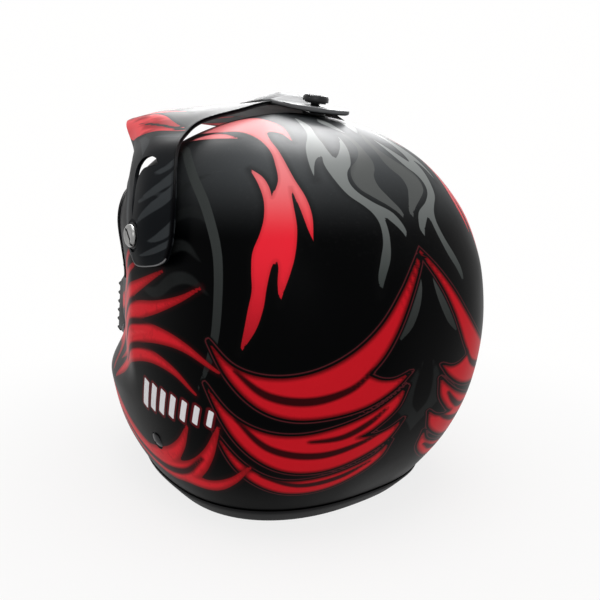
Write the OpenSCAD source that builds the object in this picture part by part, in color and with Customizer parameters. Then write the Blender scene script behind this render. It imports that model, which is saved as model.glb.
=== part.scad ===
/* [Shell] */
// Greatest width of the shell
shell_w = 250; // [236:1:262]
// Distance from the origin to the front of the chin bar
chin_reach = 186; // [178:1:194]
// Distance from the origin to the back of the shell
rear_reach = 140; // [134:1:150]
// Height of the crown above the base
shell_h = 270; // [262:1:280]
// Thickness of the shell wall
shell_wall = 4; // [3:0.5:5]

/* [Eye port] */
// Height of the port's lower edge above the base
port_bottom = 151; // [146:1:156]
// Height of the port at its rear end
port_height = 64; // [56:1:68]
// Distance of the port's rear end in front of the origin
port_rear = 46; // [42:1:56]
// Corner radius at the port's rear end
port_corner = 18; // [12:1:24]
// Upward slope of the brow edge, in degrees
brow_slope = 15; // [12:1:18]
// Width of the rubber bead inside the port
bead_w = 3; // [2:0.5:4]

/* [Linings] */
// Thickness of the foam impact liner at the crown
foam_t = 31; // [26:1:33]
// Thickness of the crown pad
crown_pad_t = 8; // [6:1:10]
// Thickness of the foam in the chin bar
chin_foam_t = 15; // [10:1:18]
// Greatest thickness of a cheek pad
cheek_t = 40; // [34:1:44]
// Height of the neck roll
neck_roll_h = 20; // [16:1:22]

/* [Mouth vent] */
// Width of the vent opening
vent_w = 104; // [92:1:106]
// Height of the vent opening
vent_h = 54; // [48:1:56]
// Height of the vent's centre above the base
vent_z = 109; // [105:1:112]
// Number of louvres in the grille
louvres = 6; // [4:1:7]
// Forward reach of the grille's upper edge from the origin
grille_reach = 184; // [182:1:190]

/* [Visor] */
// Thickness of the visor
visor_t = 2.6; // [2:0.2:3.2]
// Tilt of the visor each way from rest, in degrees
visor_tilt = 5; // [3:1:6]
// Distance of the side screws behind the origin
pivot_y = 16; // [12:1:20]
// Height of the side screws above the base
pivot_z = 187; // [184:1:190]
// Distance of the top screw behind the origin
top_screw_y = 28; // [26:1:30]
// Width of the rear tongue
tongue_w = 44; // [38:1:48]
// Head radius of the side screws
side_head_r = 7; // [6:0.5:8]
// Head radius of the top screw
top_head_r = 9; // [8:0.5:10]

/* [Chin strap] */
// Width of the webbing
web_w = 25; // [20:1:26]
// Thickness of the webbing
web_t = 1.8; // [1.4:0.1:2.2]
// Wire radius of the D-rings
ring_wire = 2; // [1.6:0.1:2.2]
// Height of the strap rivets above the base
rivet_z = 52; // [50:1:54]
// Distance of the strap rivets behind the origin
rivet_y = 12; // [10:1:14]

/* [Hidden] */

$fn = 48;

// Clearance between pieces that lie on each other: flat faces, and faceted curved ones
seat = 0.3;
lay = 0.8;
// Radial clearance of a running fit
run = 0.06;
// Overlap of two solids that are joined into one
bite = 0.4;

// Meridians of the shell from the base rim to the crown: [reach, height] as shares of the
// shell's sizes at the front, at the side and at the back
front_line = [
    [0.73, 0.11], [0.87, 0.14], [0.965, 0.21], [1.00, 0.33], [0.99, 0.45], [0.95, 0.563],
    [0.86, 0.675], [0.75, 0.80], [0.57, 0.91], [0.31, 0.978], [0, 1]
];
side_line = [
    [0.705, 0], [0.81, 0.06], [0.91, 0.155], [0.97, 0.275], [1.00, 0.40], [0.997, 0.525],
    [0.99, 0.645], [0.935, 0.765], [0.735, 0.88], [0.40, 0.965], [0, 1]
];
rear_line = [
    [0.555, 0], [0.665, 0.06], [0.815, 0.163], [0.93, 0.28], [0.99, 0.407], [1.00, 0.526],
    [0.945, 0.645], [0.81, 0.77], [0.60, 0.89], [0.315, 0.97], [0, 1]
];
// Plan of the chin bar beside the mouth, from the side to the middle: [width, reach] as
// shares. The jaw below it and the brow above it are ellipses
mouth_plan = [
    [1, 0], [0.955, 0.13], [0.88, 0.27], [0.79, 0.42], [0.70, 0.57], [0.615, 0.71], [0.535, 0.85],
    [0.34, 0.97], [0, 1]
];
// Shares of the meridian where the jaw's ridge ends and where the brow begins
jaw_u = 0.3;
brow_u = 0.54;
// Roundness of the plan behind the origin: 2 is an ellipse, more is squarer
rear_round = 2.4;
// How sharply the base rim rises towards the chin
rim_rise = 4;

// Share of a meridian where the shell wall starts, above the sole of the base trim
rim_u = 0.035;
shell_rows = 22;
shell_cols = 44;

// ---- curves and surfaces ----

function power(v, e) = sign(v) * pow(abs(v), e);

function unit(v) = v / norm(v);

function mix(a, b, t) = a + (b - a) * t;

function smooth(t) = let (c = min(max(t, 0), 1)) c * c * (3 - 2 * c);

// A smooth curve through evenly spaced points; before and after continue it past its ends
function curve(pts, u, before, after) =
    let (
        n = len(pts) - 1,
        x = u * n,
        i = min(floor(x), n - 1),
        t = x - i,
        a = i > 0 ? pts[i - 1] : before,
        b = pts[i],
        c = pts[i + 1],
        d = i < n - 1 ? pts[i + 2] : after
    )
    0.5 * (2 * b + (c - a) * t + (2 * a - 5 * b + 4 * c - d) * t * t + (3 * b - a - 3 * c + d) * t * t * t);

function open_curve(pts, u) =
    let (n = len(pts) - 1)
    curve(pts, u, 2 * pts[0] - pts[1], 2 * pts[n] - pts[n - 1]);

// A meridian arrives level at the crown
function meridian(pts, u) =
    let (n = len(pts) - 1)
    curve(pts, u, 2 * pts[0] - pts[1], [-pts[n - 1][0], pts[n - 1][1]]);

function across_y(p) = [p[0], -p[1]];

function across_x(p) = [-p[0], p[1]];

// How far the plan at share u is that of the mouth
function mouth_share(u) = smooth((u - jaw_u) / 0.08) * (1 - smooth((u - brow_u) / 0.18));

// Plan of the shell at share u and angle a: [width, reach] as shares
function plan_at(u, a) =
    let (
        c = cos(a),
        s = sin(a),
        n = len(mouth_plan) - 1,
        mouth = curve(mouth_plan, acos(abs(c)) / 90, across_y(mouth_plan[1]), across_x(mouth_plan[n - 1]))
    )
    s < 0 ? mix([c, s], [sign(c) * mouth[0], -mouth[1]], mouth_share(u))
          : [power(c, 2 / rear_round), power(s, 2 / rear_round)];

// Point of the shell's outer face: u runs from the rim to the crown, and a is the angle
// round the origin, 0 at the wearer's left, 90 at the back and 270 at the chin
function shell_at(u, a) =
    let (
        s = sin(a),
        ahead = s < 0,
        side = meridian(side_line, u),
        end = meridian(ahead ? front_line : rear_line, u),
        plan = plan_at(u, a)
    )
    [
        shell_w / 2 * side[0] * plan[0],
        (ahead ? chin_reach : rear_reach) * end[0] * plan[1],
        shell_h * mix(side[1], end[1], pow(abs(s), ahead ? rim_rise : 2))
    ];

// Outward direction of that face
function shell_out(u, a) =
    let (
        up = shell_at(min(u + 0.004, 1), a) - shell_at(max(u - 0.004, 0), a),
        round = shell_at(u, a + 0.6) - shell_at(u, a - 0.6)
    )
    unit(cross(round, up));

// The same point sunk by depth into the shell; on the rim it stays level
function sunk(u, a, depth) =
    let (
        out = shell_out(u, a),
        way = u > 0 ? out : unit([out[0], out[1], 0])
    )
    shell_at(u, a) - way * depth;

// Share of the meridian at which the outer face has height z, found by halving
function u_at(z, a, low = 0, high = 1, turns = 14) =
    turns == 0 ? (low + high) / 2 :
    let (middle = (low + high) / 2)
    shell_at(middle, a)[2] < z ? u_at(z, a, middle, high, turns - 1) : u_at(z, a, low, middle, turns - 1);

// Angle at which the outer face at share u reaches y, found by halving between two angles
function a_at(y, u, low, high, turns = 14) =
    turns == 0 ? (low + high) / 2 :
    let (middle = (low + high) / 2)
    shell_at(u, middle)[1] < y ? a_at(y, u, middle, high, turns - 1) : a_at(y, u, low, middle, turns - 1);

// Half width of the shell at a place given by y and z
function side_x(y, z) =
    let (
        u0 = u_at(z, 0),
        a0 = a_at(y, u0, -60, 60),
        u1 = u_at(z, a0),
        a1 = a_at(y, u1, -60, 60)
    )
    shell_at(u_at(z, a1), a1)[0];

// Share and angle of the rows and columns of the shell's facets
function row_u(i) = mix(rim_u, 1, i / shell_rows);

function col_a(j) = 360 * j / shell_cols;

function flat_list(rows) = [for (row = rows) each row];

// Solid between two grids of points with the same rows and columns. Columns close on
// themselves when closed is set; the last row closes to a point when tips are given
module skin(outer, inner, closed = false, tips = []) {
    rows = len(outer);
    cols = len(outer[0]);
    steps = closed ? cols : cols - 1;
    half = rows * cols;
    tip = 2 * half;
    function at(i, j) = i * cols + j % cols;
    outer_faces = [
        for (i = [0 : rows - 2], j = [0 : steps - 1])
            each [[at(i, j), at(i + 1, j), at(i + 1, j + 1)], [at(i, j), at(i + 1, j + 1), at(i, j + 1)]]
    ];
    inner_faces = [for (f = outer_faces) [f[0] + half, f[2] + half, f[1] + half]];
    low_faces = [
        for (j = [0 : steps - 1])
            let (a = at(0, j), b = at(0, j + 1))
            each [[a, b, b + half], [a, b + half, a + half]]
    ];
    top = rows - 1;
    high_faces = [
        for (j = [0 : steps - 1])
            let (a = at(top, j), b = at(top, j + 1))
            each len(tips) > 0 ? [[a, tip, b], [a + half, b + half, tip + 1]]
                               : [[a, b + half, b], [a, a + half, b + half]]
    ];
    end_faces = closed ? [] : [
        for (i = [0 : rows - 2])
            let (a = at(i, 0), b = at(i + 1, 0), c = at(i, cols - 1), d = at(i + 1, cols - 1))
            each [
                [a + half, b + half, b], [a + half, b, a],
                [c + half, d, d + half], [c + half, c, d]
            ]
    ];
    polyhedron(
        points = concat(flat_list(outer), flat_list(inner), tips),
        faces = concat(outer_faces, inner_faces, low_faces, high_faces, end_faces),
        convexity = 10
    );
}

// Solid swept through closed sections of the same length; ring joins the last to the first
module sweep(sections, ring = false) {
    n = len(sections);
    m = len(sections[0]);
    steps = ring ? n : n - 1;
    function at(i, j) = (i % n) * m + j % m;
    sides = [
        for (i = [0 : steps - 1], j = [0 : m - 1])
            each [[at(i, j), at(i + 1, j), at(i + 1, j + 1)], [at(i, j), at(i + 1, j + 1), at(i, j + 1)]]
    ];
    ends = ring ? [] : [[for (j = [0 : m - 1]) at(0, j)], [for (j = [m - 1 : -1 : 0]) at(n - 1, j)]];
    polyhedron(points = flat_list(sections), faces = concat(sides, ends), convexity = 10);
}

module mirrored() {
    children();
    mirror([1, 0, 0])
        children();
}

// Turns a piece that stands on the XY plane so that it points to the wearer's left
module to_left(x, y, z) {
    translate([x, y, z])
        rotate([0, 90, 0])
            children();
}

// ---- places that several pieces share ----

// Level of the shell's face at each side screw, taken where it stands furthest out
boss_foot = side_x(pivot_y, pivot_z - 8) + 0.3;
// Reach of the bush flange, the visor boss and the washer along the screw
bush_flange_t = 2.6;
boss_t = 3.4;
washer_t = 0.9;
boss_x = boss_foot + bush_flange_t + seat;
washer_x = boss_x + boss_t + seat;
head_x = washer_x + washer_t + 0.05;
bush_r = 5;
insert_r = 5;
insert_flange_r = 8;
shank_r = 3;

// Inner face of the shell at the side screws, taken where it stands furthest in
side_inner_x = side_x(pivot_y, pivot_z + insert_flange_r) - shell_wall * 1.12;

// Slope and height of the crown at the top screw
top_u = 1 - 0.062 * top_screw_y / 28;
top_point = shell_at(top_u, 90);
top_out = shell_out(top_u, 90);
top_tilt = atan2(top_out[1], top_out[2]);
spacer_t = 1.4;
tongue_gap = 1.9;
tongue_low = seat + spacer_t + tongue_gap;
tongue_t = visor_t;
tongue_high = tongue_low + tongue_t;
top_washer_z = tongue_high + tongue_gap;
top_head_z = top_washer_z + 1 + 0.05;
// Travel of the tongue under the top screw, and the slot that it needs
tongue_reach = norm([top_point[1] - pivot_y, top_point[2] - pivot_z]);
slot_travel = (tongue_reach + tongue_high) * sin(visor_tilt);
slot_half_w = shank_r + 0.5;
tongue_end = tongue_w / 2 + 2;

// Rivets: place on the shell, and lean of the strap's plane from upright
strap_lean = 25;
rivet_u = u_at(rivet_z, 0);
rivet_a = a_at(rivet_y, rivet_u, 0, 40);
rivet_x = shell_at(rivet_u, rivet_a)[0];
rivet_shank_r = 3;
rivet_head_r = 5.5;
spot_depth = 1.2;
plate_t = 1.5;
// Depths below the rivet's seat, inward
rivet_washer_d = shell_wall + 2;
plate_d = rivet_washer_d + 1.3;
web_d = plate_d + plate_t + 0.2;
// Webbing: lower end of the straight run, radius of the fold, and reach of the run back up
web_run = 40;
fold_r = 4.5;
left_back = 68;
right_back = 20;
ring_r = 15.5;
ring_d = web_d + web_t + 2 * fold_r + ring_wire + seat;
ring_axes = [[16, ring_d], [13.5, ring_d + 2 * ring_wire + 0.5]];

module at_top_screw() {
    translate(top_point)
        rotate([-top_tilt, 0, 0])
            children();
}

// Local frame of the left rivet: X runs down the strap, Z points out of the shell
module at_rivet() {
    translate([rivet_x, rivet_y, rivet_z])
        rotate([0, 90 + strap_lean, 0])
            children();
}

// Side outline of the eye port in Y and Z, larger by grow
module port_outline(grow) {
    back = -port_rear - port_corner;
    front = -300;
    rise = tan(brow_slope) * (back - front);
    hull() {
        for (corner = [
            [back, port_bottom + port_corner],
            [back, port_bottom + port_height - port_corner],
            [front, port_bottom + port_corner],
            [front, port_bottom + port_height - port_corner + rise]
        ])
            translate(corner)
                circle(r = port_corner + grow, $fn = 32);
    }
}

module across(h = 300) {
    rotate([90, 0, 90])
        linear_extrude(h, center = true)
            children();
}

vent_corner = 8;

// Front outline of the mouth vent in X and Z, larger by grow
module vent_outline(grow) {
    hull() {
        for (sx = [-1, 1], sz = [-1, 1])
            translate([sx * (vent_w / 2 - vent_corner), vent_z + sz * (vent_h / 2 - vent_corner)])
                circle(r = vent_corner + grow, $fn = 24);
    }
}

module through_chin() {
    rotate([90, 0, 0])
        translate([0, 0, chin_reach - 80])
            linear_extrude(110)
                children();
}

// Angle at which the chin bar at share u is x from the middle, found by halving
function chin_angle(x, u, low = 270, high = 350, turns = 14) =
    turns == 0 ? (low + high) / 2 :
    let (middle = (low + high) / 2)
    shell_at(u, middle)[0] < x ? chin_angle(x, u, middle, high, turns - 1)
                               : chin_angle(x, u, low, middle, turns - 1);

// Share and angle of the chin bar's point seen from the front at x and z
function chin_place(x, z) =
    let (
        a0 = chin_angle(abs(x), u_at(z, 270)),
        a1 = chin_angle(abs(x), u_at(z, a0))
    )
    [u_at(z, a1), x < 0 ? 540 - a1 : a1];

function chin_at(x, z, depth) =
    let (place = chin_place(x, z))
    sunk(place[0], place[1], depth);

// Dome from share low to the crown, between two depths
module dome(low, depth_out, depth_in, rows, cols, taper = 1) {
    us = [for (i = [0 : rows - 1]) mix(low, 1, i / rows)];
    function thick(u) = (depth_in - depth_out) * mix(taper, 1, smooth((u - low) / 0.3));
    crown = shell_at(1, 0);
    skin(
        [for (u = us) [for (j = [0 : cols - 1]) sunk(u, 360 * j / cols, depth_out)]],
        [for (u = us) [for (j = [0 : cols - 1]) sunk(u, 360 * j / cols, depth_out + thick(u))]],
        closed = true,
        tips = [crown - [0, 0, depth_out], crown - [0, 0, depth_in]]
    );
}

// ---- shell and trims ----

module outer_shell() {
    color([0.05, 0.06, 0.06])
    difference() {
        dome(rim_u, 0, shell_wall, shell_rows, shell_cols);
        across()
            port_outline(0);
        through_chin()
            vent_outline(0);
        mirrored() {
            to_left(side_inner_x - 8, pivot_y, pivot_z)
                cylinder(r = insert_r + run, h = 30);
            at_rivet() {
                translate([0, 0, -shell_wall - 8])
                    cylinder(r = rivet_shank_r + run, h = 20);
                translate([0, 0, -spot_depth])
                    cylinder(r = rivet_head_r + 0.7, h = 8);
            }
        }
        at_top_screw()
            translate([0, 0, -shell_wall - 4])
                cylinder(r = insert_r + run, h = 20);
    }
}

module eye_port_trim() {
    lip = 1.5;
    rows = 13;
    cols = 29;
    function u(i) = mix(0.45, 0.94, i / (rows - 1));
    function a(j) = mix(188, 352, j / (cols - 1));
    color([0.06, 0.06, 0.07])
    intersection() {
        skin(
            [for (i = [0 : rows - 1]) [for (j = [0 : cols - 1]) sunk(u(i), a(j), -lip)]],
            [for (i = [0 : rows - 1]) [for (j = [0 : cols - 1]) sunk(u(i), a(j), shell_wall + lip)]]
        );
        across()
            difference() {
                port_outline(-0.1);
                port_outline(-bead_w);
            }
    }
}

// Rubber moulding that clasps the shell's lower edge; the helmet stands on its sole
module base_trim() {
    outer = -1.6;
    inner = shell_wall + 1.6;
    // share of the meridian and depth of each corner of the U-shaped section
    groove = seat + 0.1;
    section = [
        [0, inner - 0.6], [0.052, inner], [0.056, shell_wall + groove], [rim_u - 0.006, shell_wall + groove],
        [rim_u - 0.006, -groove], [0.08, -groove], [0.072, outer], [0.02, outer], [0, outer + 0.6]
    ];
    color([0.07, 0.07, 0.08])
    sweep([for (j = [0 : shell_cols - 1]) [for (p = section) sunk(p[0], col_a(j), p[1])]], ring = true);
}

// ---- linings ----

module impact_liner() {
    outside = shell_wall + lay;
    ear = rivet_y + web_w / 2 + 12;
    cheek_end = -9;
    cheek_top = 142;
    color([0.12, 0.12, 0.13])
    difference() {
        dome(0.128, outside, outside + foam_t, 15, 36, taper = 0.36);
        // face, cheeks and ear recess
        across() {
            polygon([
                [-300, -20], [ear, -20], [ear, rivet_z + 44], [ear - 14, rivet_z + 60],
                [cheek_end, rivet_z + 64], [cheek_end, cheek_top], [-port_rear + 8, cheek_top],
                [-port_rear + 8, port_bottom + 34], [-300, port_bottom + port_height]
            ]);
            port_outline(4);
        }
        mirrored()
            to_left(side_inner_x - 16, pivot_y, pivot_z)
                cylinder(r = insert_flange_r + 1.5, h = 30);
        at_top_screw()
            translate([0, 0, -shell_wall - 14])
                cylinder(r = insert_flange_r + 1.5, h = 30);
    }
}

module crown_pad() {
    cols = 28;
    rows = 8;
    outside = shell_wall + foam_t + 2 * lay;
    crown = shell_at(1, 0);
    // lower edge: high over the brow, lower at the temples and at the back
    function low(a) = mix(mix(0.58, 0.42, smooth(sin(a))), 0.885, smooth(-1.6 * sin(a) - 0.25));
    function u(i, a) = mix(low(a), 1, i / rows);
    function ring(i, depth) = [
        for (j = [0 : cols - 1])
            let (a = 360 * j / cols)
            sunk(u(i, a), a, depth)
    ];
    color([0.25, 0.05, 0.06])
    skin(
        [for (i = [0 : rows - 1]) ring(i, outside)],
        [for (i = [0 : rows - 1]) ring(i, outside + crown_pad_t)],
        closed = true,
        tips = [crown - [0, 0, outside], crown - [0, 0, outside + crown_pad_t]]
    );
}

// Depth of the gap that the snap studs hold between the shell and the cheek pads
stud_t = 1.6;
pad_depth = shell_wall + lay + stud_t + seat;

module cheek_pad_left() {
    rows = 9;
    cols = 8;
    edge_t = 9;
    function u(i) = mix(0.10, 0.475, i / (rows - 1));
    function a(j) = mix(-49, -8, j / (cols - 1));
    function thick(i, j) =
        mix(edge_t, cheek_t, pow(sin(180 * i / (rows - 1)), 0.6) * pow(sin(180 * j / (cols - 1)), 0.5));
    color([0.25, 0.05, 0.06])
    skin(
        [for (i = [0 : rows - 1]) [for (j = [0 : cols - 1]) sunk(u(i), a(j), pad_depth)]],
        [for (i = [0 : rows - 1]) [for (j = [0 : cols - 1])
            sunk(u(i), a(j), pad_depth) - [thick(i, j), 0, 0]]]
    );
}

module cheek_pad_right() {
    mirror([1, 0, 0])
        cheek_pad_left();
}

module pad_snaps() {
    stud_r = 5;
    color([0.1, 0.1, 0.1])
    mirrored() {
        for (place = [[0.23, -14], [0.4, -14], [0.43, -36]]) {
            out = shell_out(place[0], place[1]);
            translate(sunk(place[0], place[1], shell_wall + lay + stud_t))
                rotate([0, acos(out[2]), atan2(out[1], out[0])])
                    cylinder(r = stud_r, h = stud_t);
        }
    }
}

module neck_roll() {
    steps = 24;
    middle_u = 0.075;
    half_u = 0.042 * neck_roll_h / 20;
    half_t = 8.5;
    depth = shell_wall + lay + half_t;
    color([0.12, 0.12, 0.13])
    sweep([
        for (k = [0 : steps])
            let (a = mix(27, 153, k / steps))
            [for (t = [330 : -30 : 0]) sunk(middle_u + half_u * sin(t), a, depth - half_t * cos(t))]
    ]);
}

module chin_bar_foam() {
    outside = shell_wall + seat;
    top = port_bottom - bead_w - 2;
    rows = concat(
        [for (i = [2 : shell_rows - 1]) if (shell_at(row_u(i), 270)[2] < top - 3) row_u(i)],
        [u_at(top, 270)]
    );
    middle = 0.75 * shell_cols;
    cols = [middle - 4 : middle + 4];
    color([0.12, 0.12, 0.13])
    difference() {
        skin(
            [for (u = rows) [for (j = cols) sunk(u, col_a(j), outside)]],
            [for (u = rows) [for (j = cols) sunk(u, col_a(j), outside + chin_foam_t)]]
        );
        through_chin()
            vent_outline(4.5);
    }
}

// ---- mouth vent ----

grille_flange = 6;
grille_wall = 3;
grille_half_w = vent_w / 2 + grille_flange;
grille_half_h = vent_h / 2 + grille_flange;

// Front face of the grille: bowed across, leaning forward on its way down, and turned
// under at the bottom
function grille_face(x, z) =
    let (
        top = vent_z + grille_half_h,
        turn_z = vent_z - grille_half_h + 11,
        lean = 0.19 * (top - max(z, turn_z)) - 0.9 * max(turn_z - z, 0),
        bow = 5 * (1 - pow(x / grille_half_w, 2))
    )
    [x, -grille_reach - lean - bow, z];

// Push rivet in each end of the frame, near its lower corner
grille_rivet_r = 2;

module at_grille_rivet() {
    to_left(grille_half_w + seat, -grille_reach + 7.5, vent_z - grille_half_h + 12.5)
        children();
}

// Deep frame that stands on the shell round the vent, with louvres between its walls
module mouth_grille() {
    inset = 0.5;
    corner_x = vent_w / 2 - vent_corner;
    corner_z = vent_h / 2 - vent_corner;
    // outline of the opening as [x, z, way out]: each of its corners, and the side after it
    path = [
        for (q = [0 : 3])
            let (
                sx = q == 0 || q == 3 ? 1 : -1,
                sz = q < 2 ? 1 : -1,
                level = q % 2 == 0,
                parts = level ? 8 : 3
            )
            each concat(
                [for (t = [0 : 22.5 : 90])
                    let (turn = 90 * q + t)
                    [sx * corner_x + vent_corner * cos(turn), vent_z + sz * corner_z + vent_corner * sin(turn),
                        turn]],
                [for (k = [1 : parts - 1])
                    let (way = mix(1, -1, k / parts))
                    level ? [sx * way * corner_x, vent_z + sz * vent_h / 2, 90 * (q + 1)]
                          : [sx * vent_w / 2, vent_z + sz * way * corner_z, 90 * (q + 1)]]
            )
    ];
    // section of the frame: way out of the opening, depth, and whether it is on the front face
    section = [
        [grille_flange, -lay, false], [-inset, -lay, false], [-inset, shell_wall, false],
        [-inset - 2, shell_wall, false], [grille_flange - grille_wall, 1, true],
        [grille_flange - 1, 0, true], [grille_flange, 1, true]
    ];
    inner_w = 2 * (grille_half_w - grille_wall);
    inner_h = 2 * (grille_half_h - grille_wall) - 9;
    pitch = inner_h / louvres;
    // section of a louvre: distance behind the face, and height above its foot
    blade = [[-3, 0], [10, pitch * 0.5], [10, pitch * 0.5 + 1.8], [-3, 1.4]];
    stations = 8;
    reach = inner_w / 2 + 1;
    low = vent_z - inner_h / 2;
    color([0.09, 0.09, 0.1])
    union() {
        difference() {
            sweep([
                for (p = path)
                    [for (c = section)
                        let (x = p[0] + c[0] * cos(p[2]), z = p[1] + c[0] * sin(p[2]))
                        c[2] ? grille_face(x, z) + [0, c[1], 0] : chin_at(x, z, c[1])]
            ], ring = true);
            mirrored()
                at_grille_rivet()
                    translate([0, 0, -20])
                        cylinder(r = grille_rivet_r + run, h = 40);
        }
        for (k = [0 : louvres - 1])
            let (z = low + pitch * (k + 0.3))
            sweep([
                for (j = [0 : stations])
                    let (front = grille_face(mix(-reach, reach, j / stations), z))
                    [for (b = blade) front + [0, b[0], b[1]]]
            ]);
        // upright bars that tie the louvres together
        for (x = [-inner_w / 3, 0, inner_w / 3])
            sweep([
                for (z = [low - 1.5, vent_z, low + inner_h + 2])
                    [for (c = [[-1, 4], [1, 4], [1, 8.6], [-1, 8.6]]) grille_face(x, z) + [c[0], c[1], 0]]
            ]);
    }
}

module vent_filter() {
    rows = 5;
    cols = 15;
    filter_t = 2.5;
    outside = shell_wall + 2.4;
    margin = 2;
    function x(j) = mix(-1, 1, j / (cols - 1)) * (vent_w / 2 + margin);
    function z(i) = vent_z + mix(-1, 1, i / (rows - 1)) * (vent_h / 2 + margin);
    color([0.15, 0.15, 0.15])
    skin(
        [for (i = [0 : rows - 1]) [for (j = [0 : cols - 1]) chin_at(x(j), z(i), outside)]],
        [for (i = [0 : rows - 1]) [for (j = [0 : cols - 1]) chin_at(x(j), z(i), outside + filter_t)]]
    );
}

module grille_rivets() {
    head_r = 4.5;
    color([0.05, 0.05, 0.05])
    mirrored()
        at_grille_rivet() {
            intersection() {
                cylinder(r = head_r, h = 2);
                translate([0, 0, -7])
                    sphere(r = 9);
            }
            translate([0, 0, -grille_wall - 5])
                cylinder(r = grille_rivet_r, h = grille_wall + 5 + bite);
        }
}

// ---- visor ----

// Outer face of the visor's left half: four cross lines from the rear edge to the front edge,
// each from the middle, over the fold, down to the foot of the arm. Heights are from the
// crown, and those under it are stretched to reach the side screws from visor_drop
visor_drop = 83;
visor_stretch = (shell_h - pivot_z) / visor_drop;
visor_lines = [
    [[0, 8, 6.5], [24, 9, 6], [46, 5, -0.5], [70, -3, -8.5], [88, 6, -19], [104, 24, -32],
        [118.5, 46, -59], [124, 49, -83], [126.5, 41, -97]],
    [[0, -50, 10], [24, -49, 9], [46, -46, 5], [72, -42, -3], [94, -28, -17.5], [112, 0, -34],
        [127, 27, -63], [131, 31, -86], [129.5, 30, -101]],
    [[0, -120, 14], [26, -117, 12.5], [50, -108, 8], [73, -91, -1], [92, -60, -21], [108, -32, -38],
        [126, 6, -64], [131, 15, -86], [129.5, 17, -101]],
    [[0, -196, 14.5], [27, -188, 14], [52, -166, 10], [71, -132, 1.8], [84, -84, -25], [99, -55, -39],
        [121.5, -13, -63.5], [128.5, 3, -86], [129.5, 10, -96.5]]
];

// Point of the visor's outer face; s runs forward, t from the right foot (-1) to the left (1)
function visor_at(s, t) =
    let (
        p = open_curve([for (line = visor_lines) curve(line, abs(t), mirror_x(line[1]), 2 * line[8] - line[7])], s)
    )
    [sign(t) * p[0] * shell_w / 250, p[1], shell_h + p[2] * (p[2] > 0 ? 1 : visor_stretch)];

function mirror_x(p) = [-p[0], p[1], p[2]];

function visor_out(s, t) =
    let (
        ahead = visor_at(min(s + 0.01, 1), t) - visor_at(max(s - 0.01, 0), t),
        aside = visor_at(s, min(t + 0.01, 1)) - visor_at(s, max(t - 0.01, -1))
    )
    unit(cross(aside, -ahead));

module visor_skin() {
    rows = 13;
    half_cols = 18;
    function s(i) = 1 - i / (rows - 1);
    function t(j) = j / half_cols;
    outer = [for (i = [0 : rows - 1]) [for (j = [half_cols : -1 : -half_cols]) visor_at(s(i), -t(j))]];
    inner = [
        for (i = [0 : rows - 1])
            [for (j = [half_cols : -1 : -half_cols])
                visor_at(s(i), -t(j)) - visor_out(s(i), -t(j)) * visor_t]
    ];
    skin(outer, inner);
}

// Crescent window ahead of each screw, in Y and Z
module window_outline() {
    translate([pivot_y, pivot_z])
        scale([1, visor_stretch])
            difference() {
                translate([-13, 25])
                    circle(r = 23);
                translate([-5, 17])
                    circle(r = 23.5);
            }
}

module tongue_outline() {
    translate([-tongue_w / 2, -24])
        square([tongue_w, 24]);
    circle(r = tongue_end);
}

module visor() {
    rail_r = 2;
    color([0.14, 0.15, 0.16])
    difference() {
        union() {
            difference() {
                visor_skin();
                mirrored()
                    rotate([90, 0, 90])
                        translate([0, 0, 80])
                            linear_extrude(70)
                                window_outline();
            }
            mirrored()
                to_left(boss_x, pivot_y, pivot_z)
                    cylinder(r = side_head_r + 3.5, h = boss_t);
            at_top_screw()
                translate([0, 0, tongue_low])
                    linear_extrude(tongue_t)
                        tongue_outline();
            // raised rails along the tongue
            mirrored()
                at_top_screw()
                    hull() {
                        translate([tongue_w / 2 - 1, -30, tongue_high + 2.5])
                            sphere(r = rail_r, $fn = 12);
                        translate([tongue_w / 2 - 1, -14, tongue_high + 3])
                            sphere(r = rail_r, $fn = 12);
                        translate([tongue_w / 2 - 1, 8, tongue_low + rail_r])
                            sphere(r = rail_r, $fn = 12);
                        translate([tongue_w / 2 - 1, -26, tongue_low + rail_r])
                            sphere(r = rail_r, $fn = 12);
                    }
        }
        mirrored()
            to_left(boss_x - 6, pivot_y, pivot_z)
                cylinder(r = bush_r + run, h = boss_t + 12);
        // room for the bush flange under the boss and for the washer on it
        mirrored() {
            to_left(boss_x - 12, pivot_y, pivot_z)
                cylinder(r = side_head_r + 2.5, h = 12);
            to_left(boss_x + boss_t, pivot_y, pivot_z)
                cylinder(r = side_head_r + 3, h = 12);
        }
        at_top_screw()
            translate([0, 0, tongue_low - 4])
                linear_extrude(tongue_t + 8) {
                    square([2 * slot_half_w, 2 * slot_travel], center = true);
                    for (sy = [-1, 1])
                        translate([0, sy * slot_travel])
                            circle(r = slot_half_w);
                }
    }
}

// ---- visor fastenings ----

// Coin-slot head on a shank; the head's foot is at zero
module coin_screw(head_r, head_h, shank) {
    slot_w = 1.8;
    difference() {
        union() {
            rotate_extrude()
                polygon([
                    [0, 0], [head_r, 0], [head_r, head_h * 0.6], [head_r - 1, head_h],
                    [head_r - 2.4, head_h], [head_r - 2.8, head_h - 0.5], [0, head_h - 0.5]
                ]);
            translate([0, 0, -shank])
                cylinder(r = shank_r, h = shank + bite);
        }
        translate([-head_r - 1, -slot_w / 2, head_h - 1.6])
            cube([2 * head_r + 2, slot_w, 3]);
    }
}

module visor_screw_left() {
    color([0.72, 0.72, 0.74])
    to_left(head_x, pivot_y, pivot_z)
        rotate([0, 0, 35])
            coin_screw(side_head_r, 3, head_x - side_inner_x + 3);
}

module visor_screw_right() {
    mirror([1, 0, 0])
        visor_screw_left();
}

module visor_top_screw() {
    color([0.03, 0.03, 0.03])
    at_top_screw()
        translate([0, 0, top_head_z])
            rotate([0, 0, 20])
                coin_screw(top_head_r, 4.2, top_head_z + shell_wall + 3);
}

module washer(outer_r, t) {
    difference() {
        cylinder(r = outer_r, h = t);
        translate([0, 0, -1])
            cylinder(r = shank_r + run, h = t + 2);
    }
}

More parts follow.
